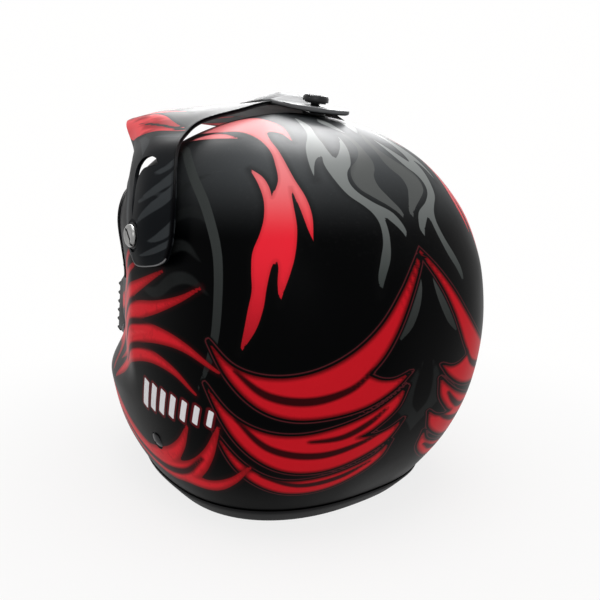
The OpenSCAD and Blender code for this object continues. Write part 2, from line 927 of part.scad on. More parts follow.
module pivot_washers() {
    color([0.1, 0.1, 0.1])
    mirrored()
        to_left(washer_x, pivot_y, pivot_z)
            washer(side_head_r + 1, washer_t);
}

module top_washer() {
    color([0.1, 0.1, 0.1])
    at_top_screw()
        translate([0, 0, top_washer_z])
            washer(top_head_r - 1.6, 1);
}

module top_spacer() {
    color([0.1, 0.1, 0.1])
    at_top_screw()
        translate([0, 0, seat])
            washer(insert_flange_r, spacer_t);
}

// Shouldered bush on which the visor's arm turns
module pivot_bushes() {
    color([0.16, 0.16, 0.17])
    mirrored()
        to_left(boss_foot, pivot_y, pivot_z)
            difference() {
                union() {
                    cylinder(r = insert_flange_r, h = bush_flange_t);
                    cylinder(r = bush_r, h = washer_x - boss_foot - 0.05);
                }
                translate([0, 0, -1])
                    cylinder(r = shank_r + run, h = 20);
            }
}

// Threaded insert: flange inside the shell, barrel through its wall
module insert(barrel) {
    flange_t = 1.6;
    difference() {
        union() {
            cylinder(r = insert_flange_r, h = flange_t);
            cylinder(r = insert_r, h = barrel);
        }
        translate([0, 0, -1])
            cylinder(r = shank_r + run, h = barrel + 2);
    }
}

module side_inserts() {
    color([0.7, 0.65, 0.4])
    mirrored()
        to_left(side_inner_x - 2.2, pivot_y, pivot_z)
            insert(boss_foot - side_inner_x + 2);
}

module top_insert() {
    color([0.7, 0.65, 0.4])
    at_top_screw()
        translate([0, 0, -shell_wall - 2.2])
            insert(shell_wall + 2.2);
}

// ---- chin strap ----

module strap_rivets() {
    tail = plate_d + plate_t + seat + 1.2;
    color([0.12, 0.12, 0.13])
    mirrored()
        at_rivet() {
            translate([0, 0, -spot_depth + 0.2])
                intersection() {
                    cylinder(r = rivet_head_r, h = 2.4);
                    translate([0, 0, -8])
                        sphere(r = 10.4);
                }
            translate([0, 0, -tail])
                cylinder(r = rivet_shank_r, h = tail);
            translate([0, 0, -tail])
                cylinder(r = rivet_head_r, h = 1.2);
        }
}

module rivet_washers() {
    color([0.6, 0.6, 0.62])
    mirrored()
        at_rivet()
            translate([0, 0, -rivet_washer_d - 1])
                difference() {
                    cylinder(r = rivet_head_r + 1, h = 1);
                    translate([0, 0, -1])
                        cylinder(r = rivet_shank_r + run, h = 3);
                }
}

// Plate that turns on the rivet; the webbing is sewn round its lower bar
bar_near = 12.5;
bar_far = 17;

module strap_anchor_left() {
    color([0.6, 0.6, 0.62])
    at_rivet()
        translate([0, 0, -plate_d - plate_t])
            linear_extrude(plate_t)
                difference() {
                    hull() {
                        circle(r = 8, $fn = 32);
                        translate([9, -web_w / 2 - 3])
                            square([bar_far - 9, web_w + 6]);
                    }
                    circle(r = rivet_shank_r + run);
                    translate([8.6, -web_w / 2 - 0.6])
                        square([bar_near - 8.6, web_w + 1.2]);
                }
}

module strap_anchor_right() {
    mirror([1, 0, 0])
        strap_anchor_left();
}

// Side outline of the webbing in the rivet's frame, X down the strap and Y outward:
// a loop round the plate's bar, a straight run, a fold and a run back up
module web_outline(back) {
    loop_r = plate_t / 2 + 0.2;
    bar_mid = -plate_d - plate_t / 2;
    front = -web_d;
    turn = -web_d - web_t - fold_r + web_t / 2;
    difference() {
        union() {
            for (x = [bar_near - 0.2, bar_far + 0.2])
                translate([x, bar_mid])
                    circle(r = loop_r + web_t);
            translate([bar_near - 0.2, bar_mid - loop_r - web_t])
                square([bar_far - bar_near + 0.4, 2 * (loop_r + web_t)]);
            translate([bar_far, front - web_t])
                square([16, 2 * web_t]);
            translate([bar_far, front - web_t])
                square([web_run - bar_far, web_t]);
            translate([web_run, turn])
                intersection() {
                    difference() {
                        circle(r = fold_r + web_t / 2);
                        circle(r = fold_r - web_t / 2);
                    }
                    translate([0, -20])
                        square([20, 40]);
                }
            translate([web_run - back, turn - fold_r - web_t / 2])
                square([back, web_t]);
        }
        translate([bar_near - 0.2, bar_mid - loop_r])
            square([bar_far - bar_near + 0.4, 2 * loop_r]);
        for (x = [bar_near - 0.2, bar_far + 0.2])
            translate([x, bar_mid])
                circle(r = loop_r);
    }
}

module web(back) {
    rotate([90, 0, 0])
        linear_extrude(web_w, center = true)
            web_outline(back);
}

module chin_strap_left() {
    color([0.05, 0.05, 0.05])
    at_rivet()
        web(left_back);
}

// The right strap ends in a sewn loop that holds both rings
module chin_strap_right() {
    hole_r = ring_wire + run;
    last = web_d + web_t + 2 * fold_r;
    color([0.05, 0.05, 0.05])
    mirror([1, 0, 0])
        at_rivet()
            difference() {
                union() {
                    web(right_back);
                    rotate([90, 0, 0])
                        linear_extrude(web_w, center = true)
                            hull() {
                                for (axis = ring_axes)
                                    translate([axis[0], -axis[1]])
                                        circle(r = hole_r + web_t - 0.3, $fn = 32);
                                translate([web_run - right_back, -last])
                                    square([2.4, web_t * 0.9]);
                            }
                }
                for (axis = ring_axes)
                    translate([axis[0], 0, -axis[1]])
                        rotate([90, 0, 0])
                            cylinder(r = hole_r, h = web_w + 4, center = true);
            }
}

module strap_snap() {
    color([0.2, 0.2, 0.2])
    at_rivet()
        translate([web_run - left_back + 9, 0, -web_d - web_t - 2 * fold_r - seat - 2])
            cylinder(r = 6, h = 2);
}

module d_ring(axis) {
    mirror([1, 0, 0])
        at_rivet()
            translate([axis[0], 0, -axis[1]]) {
                rotate([90, 0, 0])
                    cylinder(r = ring_wire, h = 2 * ring_r, center = true);
                rotate([0, 0, -90])
                    rotate_extrude(angle = 180)
                        translate([ring_r, 0])
                            circle(r = ring_wire, $fn = 24);
                for (sy = [-1, 1])
                    translate([0, sy * ring_r, 0])
                        sphere(r = ring_wire, $fn = 24);
            }
}

module d_ring_inner() {
    color([0.75, 0.75, 0.77])
    d_ring(ring_axes[0]);
}

module d_ring_outer() {
    color([0.75, 0.75, 0.77])
    d_ring(ring_axes[1]);
}

outer_shell();
eye_port_trim();
base_trim();
impact_liner();
crown_pad();
cheek_pad_left();
cheek_pad_right();
neck_roll();
chin_bar_foam();
pad_snaps();
mouth_grille();
vent_filter();
grille_rivets();
visor();
visor_screw_left();
visor_screw_right();
visor_top_screw();
pivot_washers();
pivot_bushes();
top_washer();
top_spacer();
side_inserts();
top_insert();
strap_rivets();
rivet_washers();
strap_anchor_left();
strap_anchor_right();
chin_strap_left();
chin_strap_right();
strap_snap();
d_ring_inner();
d_ring_outer();
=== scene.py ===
import math
import bmesh
import bpy
import numpy as np
from mathutils import Matrix, Vector
from mathutils.bvhtree import BVHTree
from mathutils.kdtree import KDTree


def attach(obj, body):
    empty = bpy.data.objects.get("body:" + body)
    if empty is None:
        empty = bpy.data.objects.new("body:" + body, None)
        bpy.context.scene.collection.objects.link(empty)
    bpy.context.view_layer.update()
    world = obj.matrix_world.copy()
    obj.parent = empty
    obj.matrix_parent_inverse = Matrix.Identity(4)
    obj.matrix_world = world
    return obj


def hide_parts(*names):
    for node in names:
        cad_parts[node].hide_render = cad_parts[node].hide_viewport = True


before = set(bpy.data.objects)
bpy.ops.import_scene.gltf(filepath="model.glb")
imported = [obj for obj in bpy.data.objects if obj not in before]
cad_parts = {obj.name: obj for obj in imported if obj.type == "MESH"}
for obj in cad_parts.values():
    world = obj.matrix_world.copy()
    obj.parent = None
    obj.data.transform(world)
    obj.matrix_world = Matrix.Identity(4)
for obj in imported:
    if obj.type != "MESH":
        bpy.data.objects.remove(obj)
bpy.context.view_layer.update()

mm = 0.001


def addObject(name, mesh):
    piece = bpy.data.objects.new(name, mesh)
    bpy.context.scene.collection.objects.link(piece)
    return piece


def meshFrom(bm, name):
    mesh = bpy.data.meshes.new(name)
    bm.to_mesh(mesh)
    bm.free()
    return mesh


def pieceFrom(bm, name):
    return addObject(name, meshFrom(bm, name))


def settle(piece):
    # applies every modifier on the piece
    bpy.context.view_layer.update()
    graph = bpy.context.evaluated_depsgraph_get()
    done = bpy.data.meshes.new_from_object(piece.evaluated_get(graph))
    old = piece.data
    piece.modifiers.clear()
    piece.data = done
    done.name = piece.name
    bpy.data.meshes.remove(old)


def modify(piece, kind, **settings):
    # adds one modifier and applies it
    step = piece.modifiers.new(kind, kind)
    for key, value in settings.items():
        setattr(step, key, value)
    settle(piece)


def combine(piece, tool, operation="DIFFERENCE"):
    modify(piece, "BOOLEAN", operation=operation, object=tool, solver="MANIFOLD")
    toolMesh = tool.data
    bpy.data.objects.remove(tool)
    bpy.data.meshes.remove(toolMesh)


def points(mesh):
    flat = np.empty(len(mesh.vertices) * 3)
    mesh.vertices.foreach_get("co", flat)
    return flat.reshape(-1, 3)


def placePoints(mesh, where):
    mesh.vertices.foreach_set("co", np.asarray(where, float).ravel())
    mesh.update()


def shadeSmooth(mesh, angle):
    mesh.shade_smooth()
    mesh.set_sharp_from_angle(angle=math.radians(angle))


def gridMesh(name, rows, around=False):
    # rows is an array of rows x columns x 3; around closes the columns on themselves
    height, width = rows.shape[:2]
    xSegments = width if around else width - 1
    bm = bmesh.new()
    bmesh.ops.create_grid(bm, x_segments=xSegments, y_segments=height - 1, size=0.5)
    mesh = meshFrom(bm, name)
    flat = points(mesh)
    column = np.rint((flat[:, 0] + 0.5) * xSegments).astype(int) % width
    row = np.rint((flat[:, 1] + 0.5) * (height - 1)).astype(int)
    placePoints(mesh, rows[row, column])
    bm = bmesh.new()
    bm.from_mesh(mesh)
    bmesh.ops.remove_doubles(bm, verts=bm.verts[:], dist=1e-6)
    bmesh.ops.recalc_face_normals(bm, faces=bm.faces[:])
    bm.to_mesh(mesh)
    bm.free()
    return mesh


def faceOut(mesh, centre):
    # turns an open sheet so that its faces look away from a point inside the object
    middle = Vector(centre)
    if sum(face.normal.dot(face.center - middle) * face.area for face in mesh.polygons) < 0:
        mesh.flip_normals()


def thicken(piece, thickness):
    modify(piece, "SOLIDIFY", thickness=thickness, offset=-1, use_quality_normals=True)


def remesh(piece, voxel):
    modify(piece, "REMESH", mode="VOXEL", voxel_size=voxel)


def softenEdges(piece, width, angle):
    modify(piece, "BEVEL", width=width, segments=2, limit_method="ANGLE", angle_limit=math.radians(angle))


def finishPiece(piece, body, slot, material, *nodes):
    piece.data.materials.clear()
    piece.data.materials.append(materials[material])
    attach(piece, body)
    if nodes:
        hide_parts(*nodes)


def turnedTo(place, axis):
    # matrix that stands a shape's Z along the axis
    turn = Vector(axis).to_track_quat("Z", "Y").to_matrix().to_4x4()
    return Matrix.Translation(Vector(place)) @ turn


def drum(name, radius, low, high, matrix, sides=48):
    bm = bmesh.new()
    bmesh.ops.create_cone(bm, cap_ends=True, segments=sides, radius1=radius, radius2=radius,
                          depth=high - low, matrix=Matrix.Translation((0, 0, (low + high) / 2)))
    bmesh.ops.transform(bm, matrix=matrix, verts=bm.verts[:])
    return pieceFrom(bm, name)


def hullOf(name, where):
    bm = bmesh.new()
    for place in where:
        bm.verts.new(place)
    result = bmesh.ops.convex_hull(bm, input=bm.verts[:])
    spare = {g for g in result["geom_interior"] + result["geom_unused"] if isinstance(g, bmesh.types.BMVert)}
    bmesh.ops.delete(bm, geom=list(spare), context="VERTS")
    bmesh.ops.recalc_face_normals(bm, faces=bm.faces[:])
    return pieceFrom(bm, name)


def mergedCopy(nodeName, name):
    bm = bmesh.new()
    bm.from_mesh(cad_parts[nodeName].data)
    bmesh.ops.remove_doubles(bm, verts=bm.verts[:], dist=2e-6)
    return pieceFrom(bm, name)


shellForm = {"halfWidth": 0.125, "chinReach": 0.186, "rearReach": 0.140, "height": 0.270,
             "wall": 0.004, "rimShare": 0.035, "rearRound": 2.4, "jawShare": 0.30, "jawBlend": 0.08,
             "browShare": 0.54, "browBlend": 0.18, "frontLift": 4, "rearLift": 2}
frontLine = [(0.73, 0.11), (0.87, 0.14), (0.965, 0.21), (1.00, 0.33), (0.99, 0.45), (0.95, 0.563),
             (0.86, 0.675), (0.75, 0.80), (0.57, 0.91), (0.31, 0.978), (0, 1)]
sideLine = [(0.705, 0), (0.81, 0.06), (0.91, 0.155), (0.97, 0.275), (1.00, 0.40), (0.997, 0.525),
            (0.99, 0.645), (0.935, 0.765), (0.735, 0.88), (0.40, 0.965), (0, 1)]
rearLine = [(0.555, 0), (0.665, 0.06), (0.815, 0.163), (0.93, 0.28), (0.99, 0.407), (1.00, 0.526),
            (0.945, 0.645), (0.81, 0.77), (0.60, 0.89), (0.315, 0.97), (0, 1)]
mouthPlan = [(1, 0), (0.955, 0.13), (0.88, 0.27), (0.79, 0.42), (0.70, 0.57), (0.615, 0.71),
             (0.535, 0.85), (0.34, 0.97), (0, 1)]


def ease(t):
    c = np.clip(t, 0, 1)
    return c * c * (3 - 2 * c)


def bend(a, b, c, d, t):
    # smooth way from b to c, with a before them and d after them
    return 0.5 * (2 * b + (c - a) * t + (2 * a - 5 * b + 4 * c - d) * t * t + (3 * b - a - 3 * c + d) * t ** 3)


def flowCurve(through, share, before, after):
    # smooth curve through the points, share from 0 to 1
    p = np.array([before] + [tuple(q) for q in through] + [after], float)
    spans = len(through) - 1
    x = np.asarray(share, float) * spans
    i = np.clip(np.floor(x).astype(int), 0, spans - 1)
    return bend(p[i], p[i + 1], p[i + 2], p[i + 3], (x - i)[..., None])


def openCurve(through, share):
    return flowCurve(through, share, 2 * through[0] - through[1], 2 * through[-1] - through[-2])


def meridian(line, u):
    first, second, last = np.array(line[0]), np.array(line[1]), line[-2]
    return flowCurve(line, u, 2 * first - second, (-last[0], last[1]))


def shellAt(u, a):
    # point of the outer face at share u from rim to crown, a in degrees from the left to the back
    u, a = np.broadcast_arrays(np.asarray(u, float), np.asarray(a, float))
    c, s = np.cos(np.radians(a)), np.sin(np.radians(a))
    ahead = s < 0
    side = meridian(sideLine, u)
    end = np.where(ahead[..., None], meridian(frontLine, u), meridian(rearLine, u))
    turn = np.degrees(np.arccos(np.clip(np.abs(c), 0, 1))) / 90
    mouth = flowCurve(mouthPlan, turn, (mouthPlan[1][0], -mouthPlan[1][1]),
                      (-mouthPlan[-2][0], mouthPlan[-2][1]))
    form = shellForm
    aboveJaw = (u - form["jawShare"]) / form["jawBlend"]
    aboveBrow = (u - form["browShare"]) / form["browBlend"]
    share = ease(aboveJaw) * (1 - ease(aboveBrow))
    power = 2 / form["rearRound"]
    px = np.where(ahead, c * (1 - share) + np.sign(c) * mouth[..., 0] * share, np.sign(c) * np.abs(c) ** power)
    py = np.where(ahead, s * (1 - share) - mouth[..., 1] * share, np.sign(s) * np.abs(s) ** power)
    lift = np.abs(s) ** np.where(ahead, form["frontLift"], form["rearLift"])
    reach = np.where(ahead, form["chinReach"], form["rearReach"])
    return np.stack([form["halfWidth"] * side[..., 0] * px, reach * end[..., 0] * py,
                     form["height"] * (side[..., 1] * (1 - lift) + end[..., 1] * lift)], -1)


def shellOut(u, a):
    # outward direction of the outer face
    low, high = np.clip(u - 0.004, 0, 1), np.clip(u + 0.004, 0, 1)
    upward = shellAt(high, a) - shellAt(low, a)
    along = shellAt(np.minimum(u, 0.999), a + 0.7) - shellAt(np.minimum(u, 0.999), a - 0.7)
    out = np.cross(along, upward)
    return out / np.linalg.norm(out, axis=-1, keepdims=True)


def sunk(u, a, depth):
    # point at a depth under the outer face
    u, a, depth = np.broadcast_arrays(*(np.asarray(v, float) for v in (u, a, depth)))
    return shellAt(u, a) - shellOut(u, a) * depth[..., None]


port = {"bottom": 0.151, "height": 0.064, "rear": 0.046, "corner": 0.018, "slope": 15, "bead": 0.003,
        "ahead": 0.300, "across": 0.16}
vent = {"width": 0.104, "height": 0.054, "middle": 0.109, "corner": 0.008, "reach": (-0.22, -0.11)}
screws = {"y": 0.016, "z": 0.187, "insertRadius": 0.005, "topY": 0.02765, "topZ": 0.26669,
          "topTilt": 12.92}
rivet = {"place": (0.116539, 0.012, 0.052), "lean": 25, "shank": 0.003, "head": 0.0055, "spot": 0.0012}


def portTool(grow):
    # block that cuts the eye port, whose side outline has four round corners
    back, front = -port["rear"] - port["corner"], -port["ahead"]
    rise = math.tan(math.radians(port["slope"])) * (back - front)
    low = port["bottom"] + port["corner"]
    high = port["bottom"] + port["height"] - port["corner"]
    turn = np.linspace(0, 2 * math.pi, 48, endpoint=False)
    ring = np.stack([np.cos(turn), np.sin(turn)], -1) * (port["corner"] + grow)
    flat = np.concatenate([ring + c for c in ((back, low), (back, high), (front, low), (front, high + rise))])
    return hullOf("portTool", [(x, y, z) for x in (-port["across"], port["across"]) for y, z in flat])


def ventTool(grow):
    turn = np.linspace(0, 2 * math.pi, 32, endpoint=False)
    radius = vent["corner"] + grow
    halfWidth, halfHeight = vent["width"] / 2 - vent["corner"], vent["height"] / 2 - vent["corner"]
    flat = [(sx * halfWidth + radius * math.cos(t), vent["middle"] + sz * halfHeight + radius * math.sin(t))
            for sx in (-1, 1) for sz in (-1, 1) for t in turn]
    return hullOf("ventTool", [(x, y, z) for y in vent["reach"] for x, z in flat])


def extrudeSide(name, outline, inner, outer):
    # prism across the helmet with the side outline given in Y and Z
    bm = bmesh.new()
    face = bm.faces.new([bm.verts.new((inner, y, z)) for y, z in outline])
    pushed = bmesh.ops.extrude_face_region(bm, geom=[face])
    verts = [g for g in pushed["geom"] if isinstance(g, bmesh.types.BMVert)]
    bmesh.ops.translate(bm, verts=verts, vec=(outer - inner, 0, 0))
    bmesh.ops.recalc_face_normals(bm, faces=bm.faces[:])
    return pieceFrom(bm, name)


def rivetMatrix(side):
    # local frame of a strap rivet: X runs down the strap, Z points out of the shell
    x, y, z = rivet["place"]
    lean = math.radians(rivet["lean"])
    out = Vector((side * math.cos(lean), 0, -math.sin(lean)))
    down = Vector((-side * math.sin(lean), 0, -math.cos(lean)))
    across = out.cross(down)
    turn = Matrix((down, across, out)).transposed().to_4x4()
    return Matrix.Translation((side * x, y, z)) @ turn


topMatrix = (Matrix.Translation((0, screws["topY"], screws["topZ"]))
             @ Matrix.Rotation(-math.radians(screws["topTilt"]), 4, "X"))


def nodeGroup(name, inputs, outputs):
    # an empty group of shader nodes, with its wiring and both ends' sockets
    group = bpy.data.node_groups.new(name, "ShaderNodeTree")
    for label, value in inputs.items():
        socket = group.interface.new_socket(name=label, in_out="INPUT", socket_type="NodeSocketFloat")
        socket.default_value = value
    for label in outputs:
        group.interface.new_socket(name=label, in_out="OUTPUT", socket_type="NodeSocketFloat")
    return wiring(group), group.nodes.new("NodeGroupInput").outputs, group.nodes.new("NodeGroupOutput").inputs


class wiring:
    # short ways to add and join shader nodes in one tree
    def __init__(self, tree):
        self.tree = tree
        self.surface = None

    def node(self, kind, inputs=None, **settings):
        made = self.tree.nodes.new(kind)
        for key, value in settings.items():
            setattr(made, key, value)
        for key, value in (inputs or {}).items():
            self.feed(made.inputs[key], value)
        return made

    def feed(self, socket, value):
        if isinstance(value, bpy.types.NodeSocket):
            self.tree.links.new(value, socket)
        else:
            socket.default_value = value

    def math(self, operation, a, b=0.0, c=0.0, clamp=False):
        made = self.node("ShaderNodeMath", operation=operation, use_clamp=clamp)
        for socket, value in zip(made.inputs, (a, b, c)):
            self.feed(socket, value)
        return made.outputs[0]

    def plus(self, a, b, clamp=False):
        return self.math("ADD", a, b, clamp=clamp)

    def minus(self, a, b):
        return self.math("SUBTRACT", a, b)

    def times(self, a, b):
        return self.math("MULTIPLY", a, b)

    def span(self, value, low, high, toLow=0.0, toHigh=1.0):
        made = self.node("ShaderNodeMapRange", {"Value": value, "From Min": low, "From Max": high,
                                                "To Min": toLow, "To Max": toHigh}, interpolation_type="SMOOTHSTEP")
        return made.outputs["Result"]

    def mixColour(self, share, a, b):
        made = self.node("ShaderNodeMix", {0: share}, data_type="RGBA")
        for slot, colour in ((6, a), (7, b)):
            self.feed(made.inputs[slot], (*colour, 1) if isinstance(colour, tuple) else colour)
        return made.outputs[2]

    def noise(self, scale, detail, vector, rough=0.5):
        return self.node("ShaderNodeTexNoise", {"Scale": scale, "Detail": detail, "Roughness": rough,
                                                "Vector": vector}).outputs["Fac"]

    def place(self):
        return self.node("ShaderNodeTexCoord").outputs["Object"]

    def field(self, name):
        return self.node("ShaderNodeAttribute", attribute_name=name).outputs["Fac"]

    def parts(self, vector):
        return self.node("ShaderNodeSeparateXYZ", {0: vector}).outputs[:3]

    def group(self, tree, inputs):
        return self.node("ShaderNodeGroup", inputs, node_tree=tree).outputs

    def finish(self, colour, height=None, distance=0.0, strength=1.0):
        self.feed(self.surface.inputs["Base Color"], colour)
        if height is not None:
            lift = self.node("ShaderNodeBump", {"Height": height, "Distance": distance, "Strength": strength})
            self.feed(self.surface.inputs["Normal"], lift.outputs[0])


def emptyTree(owner):
    owner.use_nodes = True
    owner.node_tree.nodes.clear()
    return wiring(owner.node_tree)


def makeGrain():
    # fine moulded grain: a height for bump and a soft tone for colour and roughness
    w, given, result = nodeGroup("mouldedGrain", {"Scale": 900.0, "Tone": 0.2}, ["Height", "Shade"])
    where = w.place()
    fine = w.noise(given["Scale"], 4.0, where)
    pits = w.node("ShaderNodeTexVoronoi", {"Vector": where, "Scale": given["Scale"]})
    cloudy = w.noise(28.0, 3.0, where)
    w.feed(result["Height"], w.math("MULTIPLY_ADD", pits.outputs["Distance"], 0.6, fine))
    w.feed(result["Shade"], w.times(w.minus(cloudy, 0.5), given["Tone"]))
    return w.tree


def makeKnit():
    # knitted mesh cloth that looks the same on every slope
    w, given, result = nodeGroup("knitCloth", {"Pitch": 2600.0}, ["Height", "Gaps"])
    where = w.place()
    wobble = w.node("ShaderNodeTexNoise", {"Vector": where, "Scale": 60.0})
    shifted = w.node("ShaderNodeVectorMath", {0: wobble.outputs["Color"], 1: (0.0006, 0.0006, 0.0006), 2: where},
                     operation="MULTIPLY_ADD")
    parts = w.parts(shifted.outputs[0])
    waves = []
    for here, following in zip(parts, parts[1:] + parts[:1]):
        angle, after = (w.times(part, given["Pitch"]) for part in (here, following))
        waves.append(w.times(w.math("SINE", angle), w.math("COSINE", after)))
    total = w.math("ABSOLUTE", w.plus(w.plus(waves[0], waves[1]), waves[2]))
    w.feed(result["Height"], w.minus(1.0, total))
    w.feed(result["Gaps"], w.span(total, 0.5, 1.1))
    return w.tree


def makeDust():
    # pale dust that settles on faces that look up
    w, given, result = nodeGroup("settledDust", {"Amount": 0.1}, ["Mask"])
    upward = w.parts(w.node("ShaderNodeNewGeometry").outputs["Normal"])[2]
    specks = w.noise(420.0, 5.0, w.place(), 0.7)
    mask = w.times(w.span(upward, 0.2, 1.0), w.span(specks, 0.52, 0.72))
    w.feed(result["Mask"], w.times(mask, given["Amount"]))
    return w.tree


grainGroup, knitGroup, dustGroup = makeGrain(), makeKnit(), makeDust()
materials = {}


def newMaterial(name, roughness, metallic=0.0, **sockets):
    made = bpy.data.materials.new(name)
    w = emptyTree(made)
    w.surface = w.node("ShaderNodeBsdfPrincipled", {"Roughness": roughness, "Metallic": metallic})
    for label, value in sockets.items():
        w.surface.inputs[label.replace("_", " ")].default_value = value
    w.node("ShaderNodeOutputMaterial", {"Surface": w.surface.outputs[0]})
    materials[name] = made
    return w


def mouldedMaterial(name, colour, roughness, grain, bump, tone=0.25, dust=0.08, metallic=0.0, **sockets):
    w = newMaterial(name, roughness, metallic, **sockets)
    grained = w.group(grainGroup, {"Scale": grain, "Tone": tone})
    dusted = w.group(dustGroup, {"Amount": dust})
    lighter = tuple(min(1, c * 1.7 + 0.002) for c in colour)
    shaded = w.mixColour(w.plus(grained["Shade"], 0.3, clamp=True), colour, lighter)
    w.feed(w.surface.inputs["Roughness"], w.plus(roughness, w.times(grained["Shade"], 0.5), clamp=True))
    w.finish(w.mixColour(dusted["Mask"], shaded, (0.32, 0.31, 0.30)), grained["Height"], bump)


mouldedMaterial("blackRubber", (0.004, 0.004, 0.0045), 0.62, grain=1400.0, bump=0.00003, Specular_IOR_Level=0.12)
mouldedMaterial("blackPlastic", (0.008, 0.0085, 0.009), 0.42, grain=1100.0, bump=0.00003, Specular_IOR_Level=0.15)
mouldedMaterial("grillePlastic", (0.006, 0.0065, 0.007), 0.40, grain=1100.0, bump=0.00002, Specular_IOR_Level=0.15)
mouldedMaterial("blackMetal", (0.014, 0.014, 0.015), 0.36, grain=700.0, bump=0.00001, metallic=0.7)
mouldedMaterial("screwSteel", (0.21, 0.21, 0.205), 0.27, grain=2200.0, bump=0.00001, tone=0.6, metallic=1.0)
mouldedMaterial("slotShade", (0.012, 0.012, 0.013), 0.6, grain=1500.0, bump=0.00001, metallic=0.3)
mouldedMaterial("insertBrass", (0.55, 0.38, 0.14), 0.33, grain=1800.0, bump=0.00001, metallic=1.0)
mouldedMaterial("rawPlastic", (0.012, 0.012, 0.013), 0.55, grain=600.0, bump=0.00004)


def foamMaterial():
    # expanded beads pressed together
    bead = {"dark": (0.016, 0.016, 0.017), "light": (0.030, 0.030, 0.032), "joint": (0.007, 0.007, 0.007),
            "scale": 310.0}
    w = newMaterial("beadFoam", 0.72)
    given = {"Vector": w.place(), "Scale": bead["scale"]}
    edge = w.node("ShaderNodeTexVoronoi", given, feature="DISTANCE_TO_EDGE")
    joints = w.span(edge.outputs["Distance"], 0.0, 0.12)
    tone = w.parts(w.node("ShaderNodeTexVoronoi", given).outputs["Color"])[0]
    body = w.mixColour(tone, bead["dark"], bead["light"])
    w.finish(w.mixColour(joints, bead["joint"], body), joints, 0.0004, 0.8)


def clothMaterial(name, colour, seamColour, pitch=2600.0):
    w = newMaterial(name, 0.88, Sheen_Weight=0.35, Sheen_Roughness=0.5, Specular_IOR_Level=0.2)
    knit = w.group(knitGroup, {"Pitch": pitch})
    lighter, darker = (tuple(c * share for c in colour) for share in (1.5, 0.25))
    body = w.mixColour(w.noise(35.0, 3.0, w.place()), colour, lighter)
    dark = w.mixColour(knit["Gaps"], body, darker)
    w.finish(w.mixColour(w.field("seam"), dark, seamColour), knit["Height"], 0.00025, 0.7)


def webbingMaterial():
    # flat woven band: ribs run along the strap, picks across it
    weave = {"rib": 0.0019, "pick": 0.0016, "dark": (0.004, 0.004, 0.004), "light": (0.024, 0.024, 0.026)}
    w = newMaterial("wovenBand", 0.75, Sheen_Weight=0.2, Sheen_Roughness=0.4, Specular_IOR_Level=0.25)
    x, y, z = w.parts(w.place())
    lean = math.radians(rivet["lean"])
    along = w.math("MULTIPLY_ADD", w.math("ABSOLUTE", x), -math.sin(lean), w.times(z, -math.cos(lean)))
    rib = w.math("SINE", w.times(y, 2 * math.pi / weave["rib"]))
    turn = w.math("MULTIPLY_ADD", w.math("SIGN", rib), math.pi / 2,
                  w.times(along, 2 * math.pi / weave["pick"]))
    height = w.math("MULTIPLY_ADD", w.math("ABSOLUTE", rib), 0.6, w.times(w.math("SINE", turn), 0.4))
    w.finish(w.mixColour(w.span(height, -0.3, 0.9), weave["dark"], weave["light"]), height, 0.00025, 0.8)


def threadMaterial():
    w = newMaterial("blackThread", 0.6, Sheen_Weight=0.3)
    w.finish(w.mixColour(w.noise(2500.0, 2.0, w.place()), (0.02, 0.02, 0.02), (0.10, 0.10, 0.10)))


foamMaterial()
clothMaterial("redCloth", (0.16, 0.012, 0.018), (0.03, 0.004, 0.005))
clothMaterial("darkCloth", (0.014, 0.014, 0.015), (0.004, 0.004, 0.004))
webbingMaterial()
threadMaterial()
print("materials", len(materials))


# Shapes lie on a chart of the shell's side, laid out from the point level with its centre, in millimetres
# backward and up. An outline's third value marks a sharp tip, and a stroke's is its half width, or thinnest
thinnest = 0.3
redFlames = [
    [(-22, 138, 1), (-4, 157), (18, 163), (42, 158), (64, 150), (84, 134, 1), (70, 141), (60, 140), (68, 132),
     (80, 123), (90, 114), (102, 102), (113, 91), (121, 78), (126, 61, 1), (119, 73), (111, 85), (102, 96, 1),
     (109, 83), (115, 70), (118, 56), (118, 43), (115, 24, 1), (112.5, 37), (111.5, 45), (109.5, 49), (108, 45),
     (107.5, 34), (107, 21), (103.5, 8), (95, -6, 1), (97.5, 8), (99, 20), (100, 31), (98, 42), (96.5, 52),
     (97.5, 63), (96.5, 73), (92, 84), (84, 94), (74, 103, 1), (84, 99), (91, 93), (96, 86, 1), (94, 98), (87, 109),
     (77, 120), (61, 130), (41, 136), (18, 136)],
    [(-8, 127, 1), (10, 133), (28, 133), (48, 128, 1), (32, 127), (12, 127)],
]
greyFlames = [
    [(50, 174, 1), (72, 159), (84, 148), (94, 131), (104, 117), (113, 106, 1), (107.5, 116), (104.5, 124),
     (105, 131, 1), (111, 122), (122, 112), (134, 103), (146, 98), (154, 93), (160, 85), (164, 72), (164.5, 58),
     (164.5, 46), (167, 32, 1), (169, 46), (170.5, 61), (168, 76), (164, 87), (159, 96, 1), (168, 91), (175, 86),
     (182, 78, 1), (176, 91), (165, 101), (151, 104), (139, 108), (131, 114), (126, 123), (124, 133), (117, 145),
     (108, 155), (98, 163, 1), (107, 151), (112, 140), (114, 131, 1), (106, 137), (98, 144), (88, 152), (73, 164)],
    [(60, 186, 1), (74, 184), (98, 174, 1), (82, 175), (70, 178)],
]
smokeFlames = [
    [(88, 174, 1), (112, 161), (121, 151), (125, 140), (126, 129), (131, 119), (139, 112), (150, 109), (162, 106),
     (172, 101), (181, 91, 1), (171, 106), (159, 115), (149, 122), (142, 131), (139, 140), (133, 149), (122, 158),
     (108, 168)],
    [(182, 66, 1), (188, 48), (187, 30), (182, 12), (180, -2, 1), (190, 10), (195, 30), (193, 50)],
]
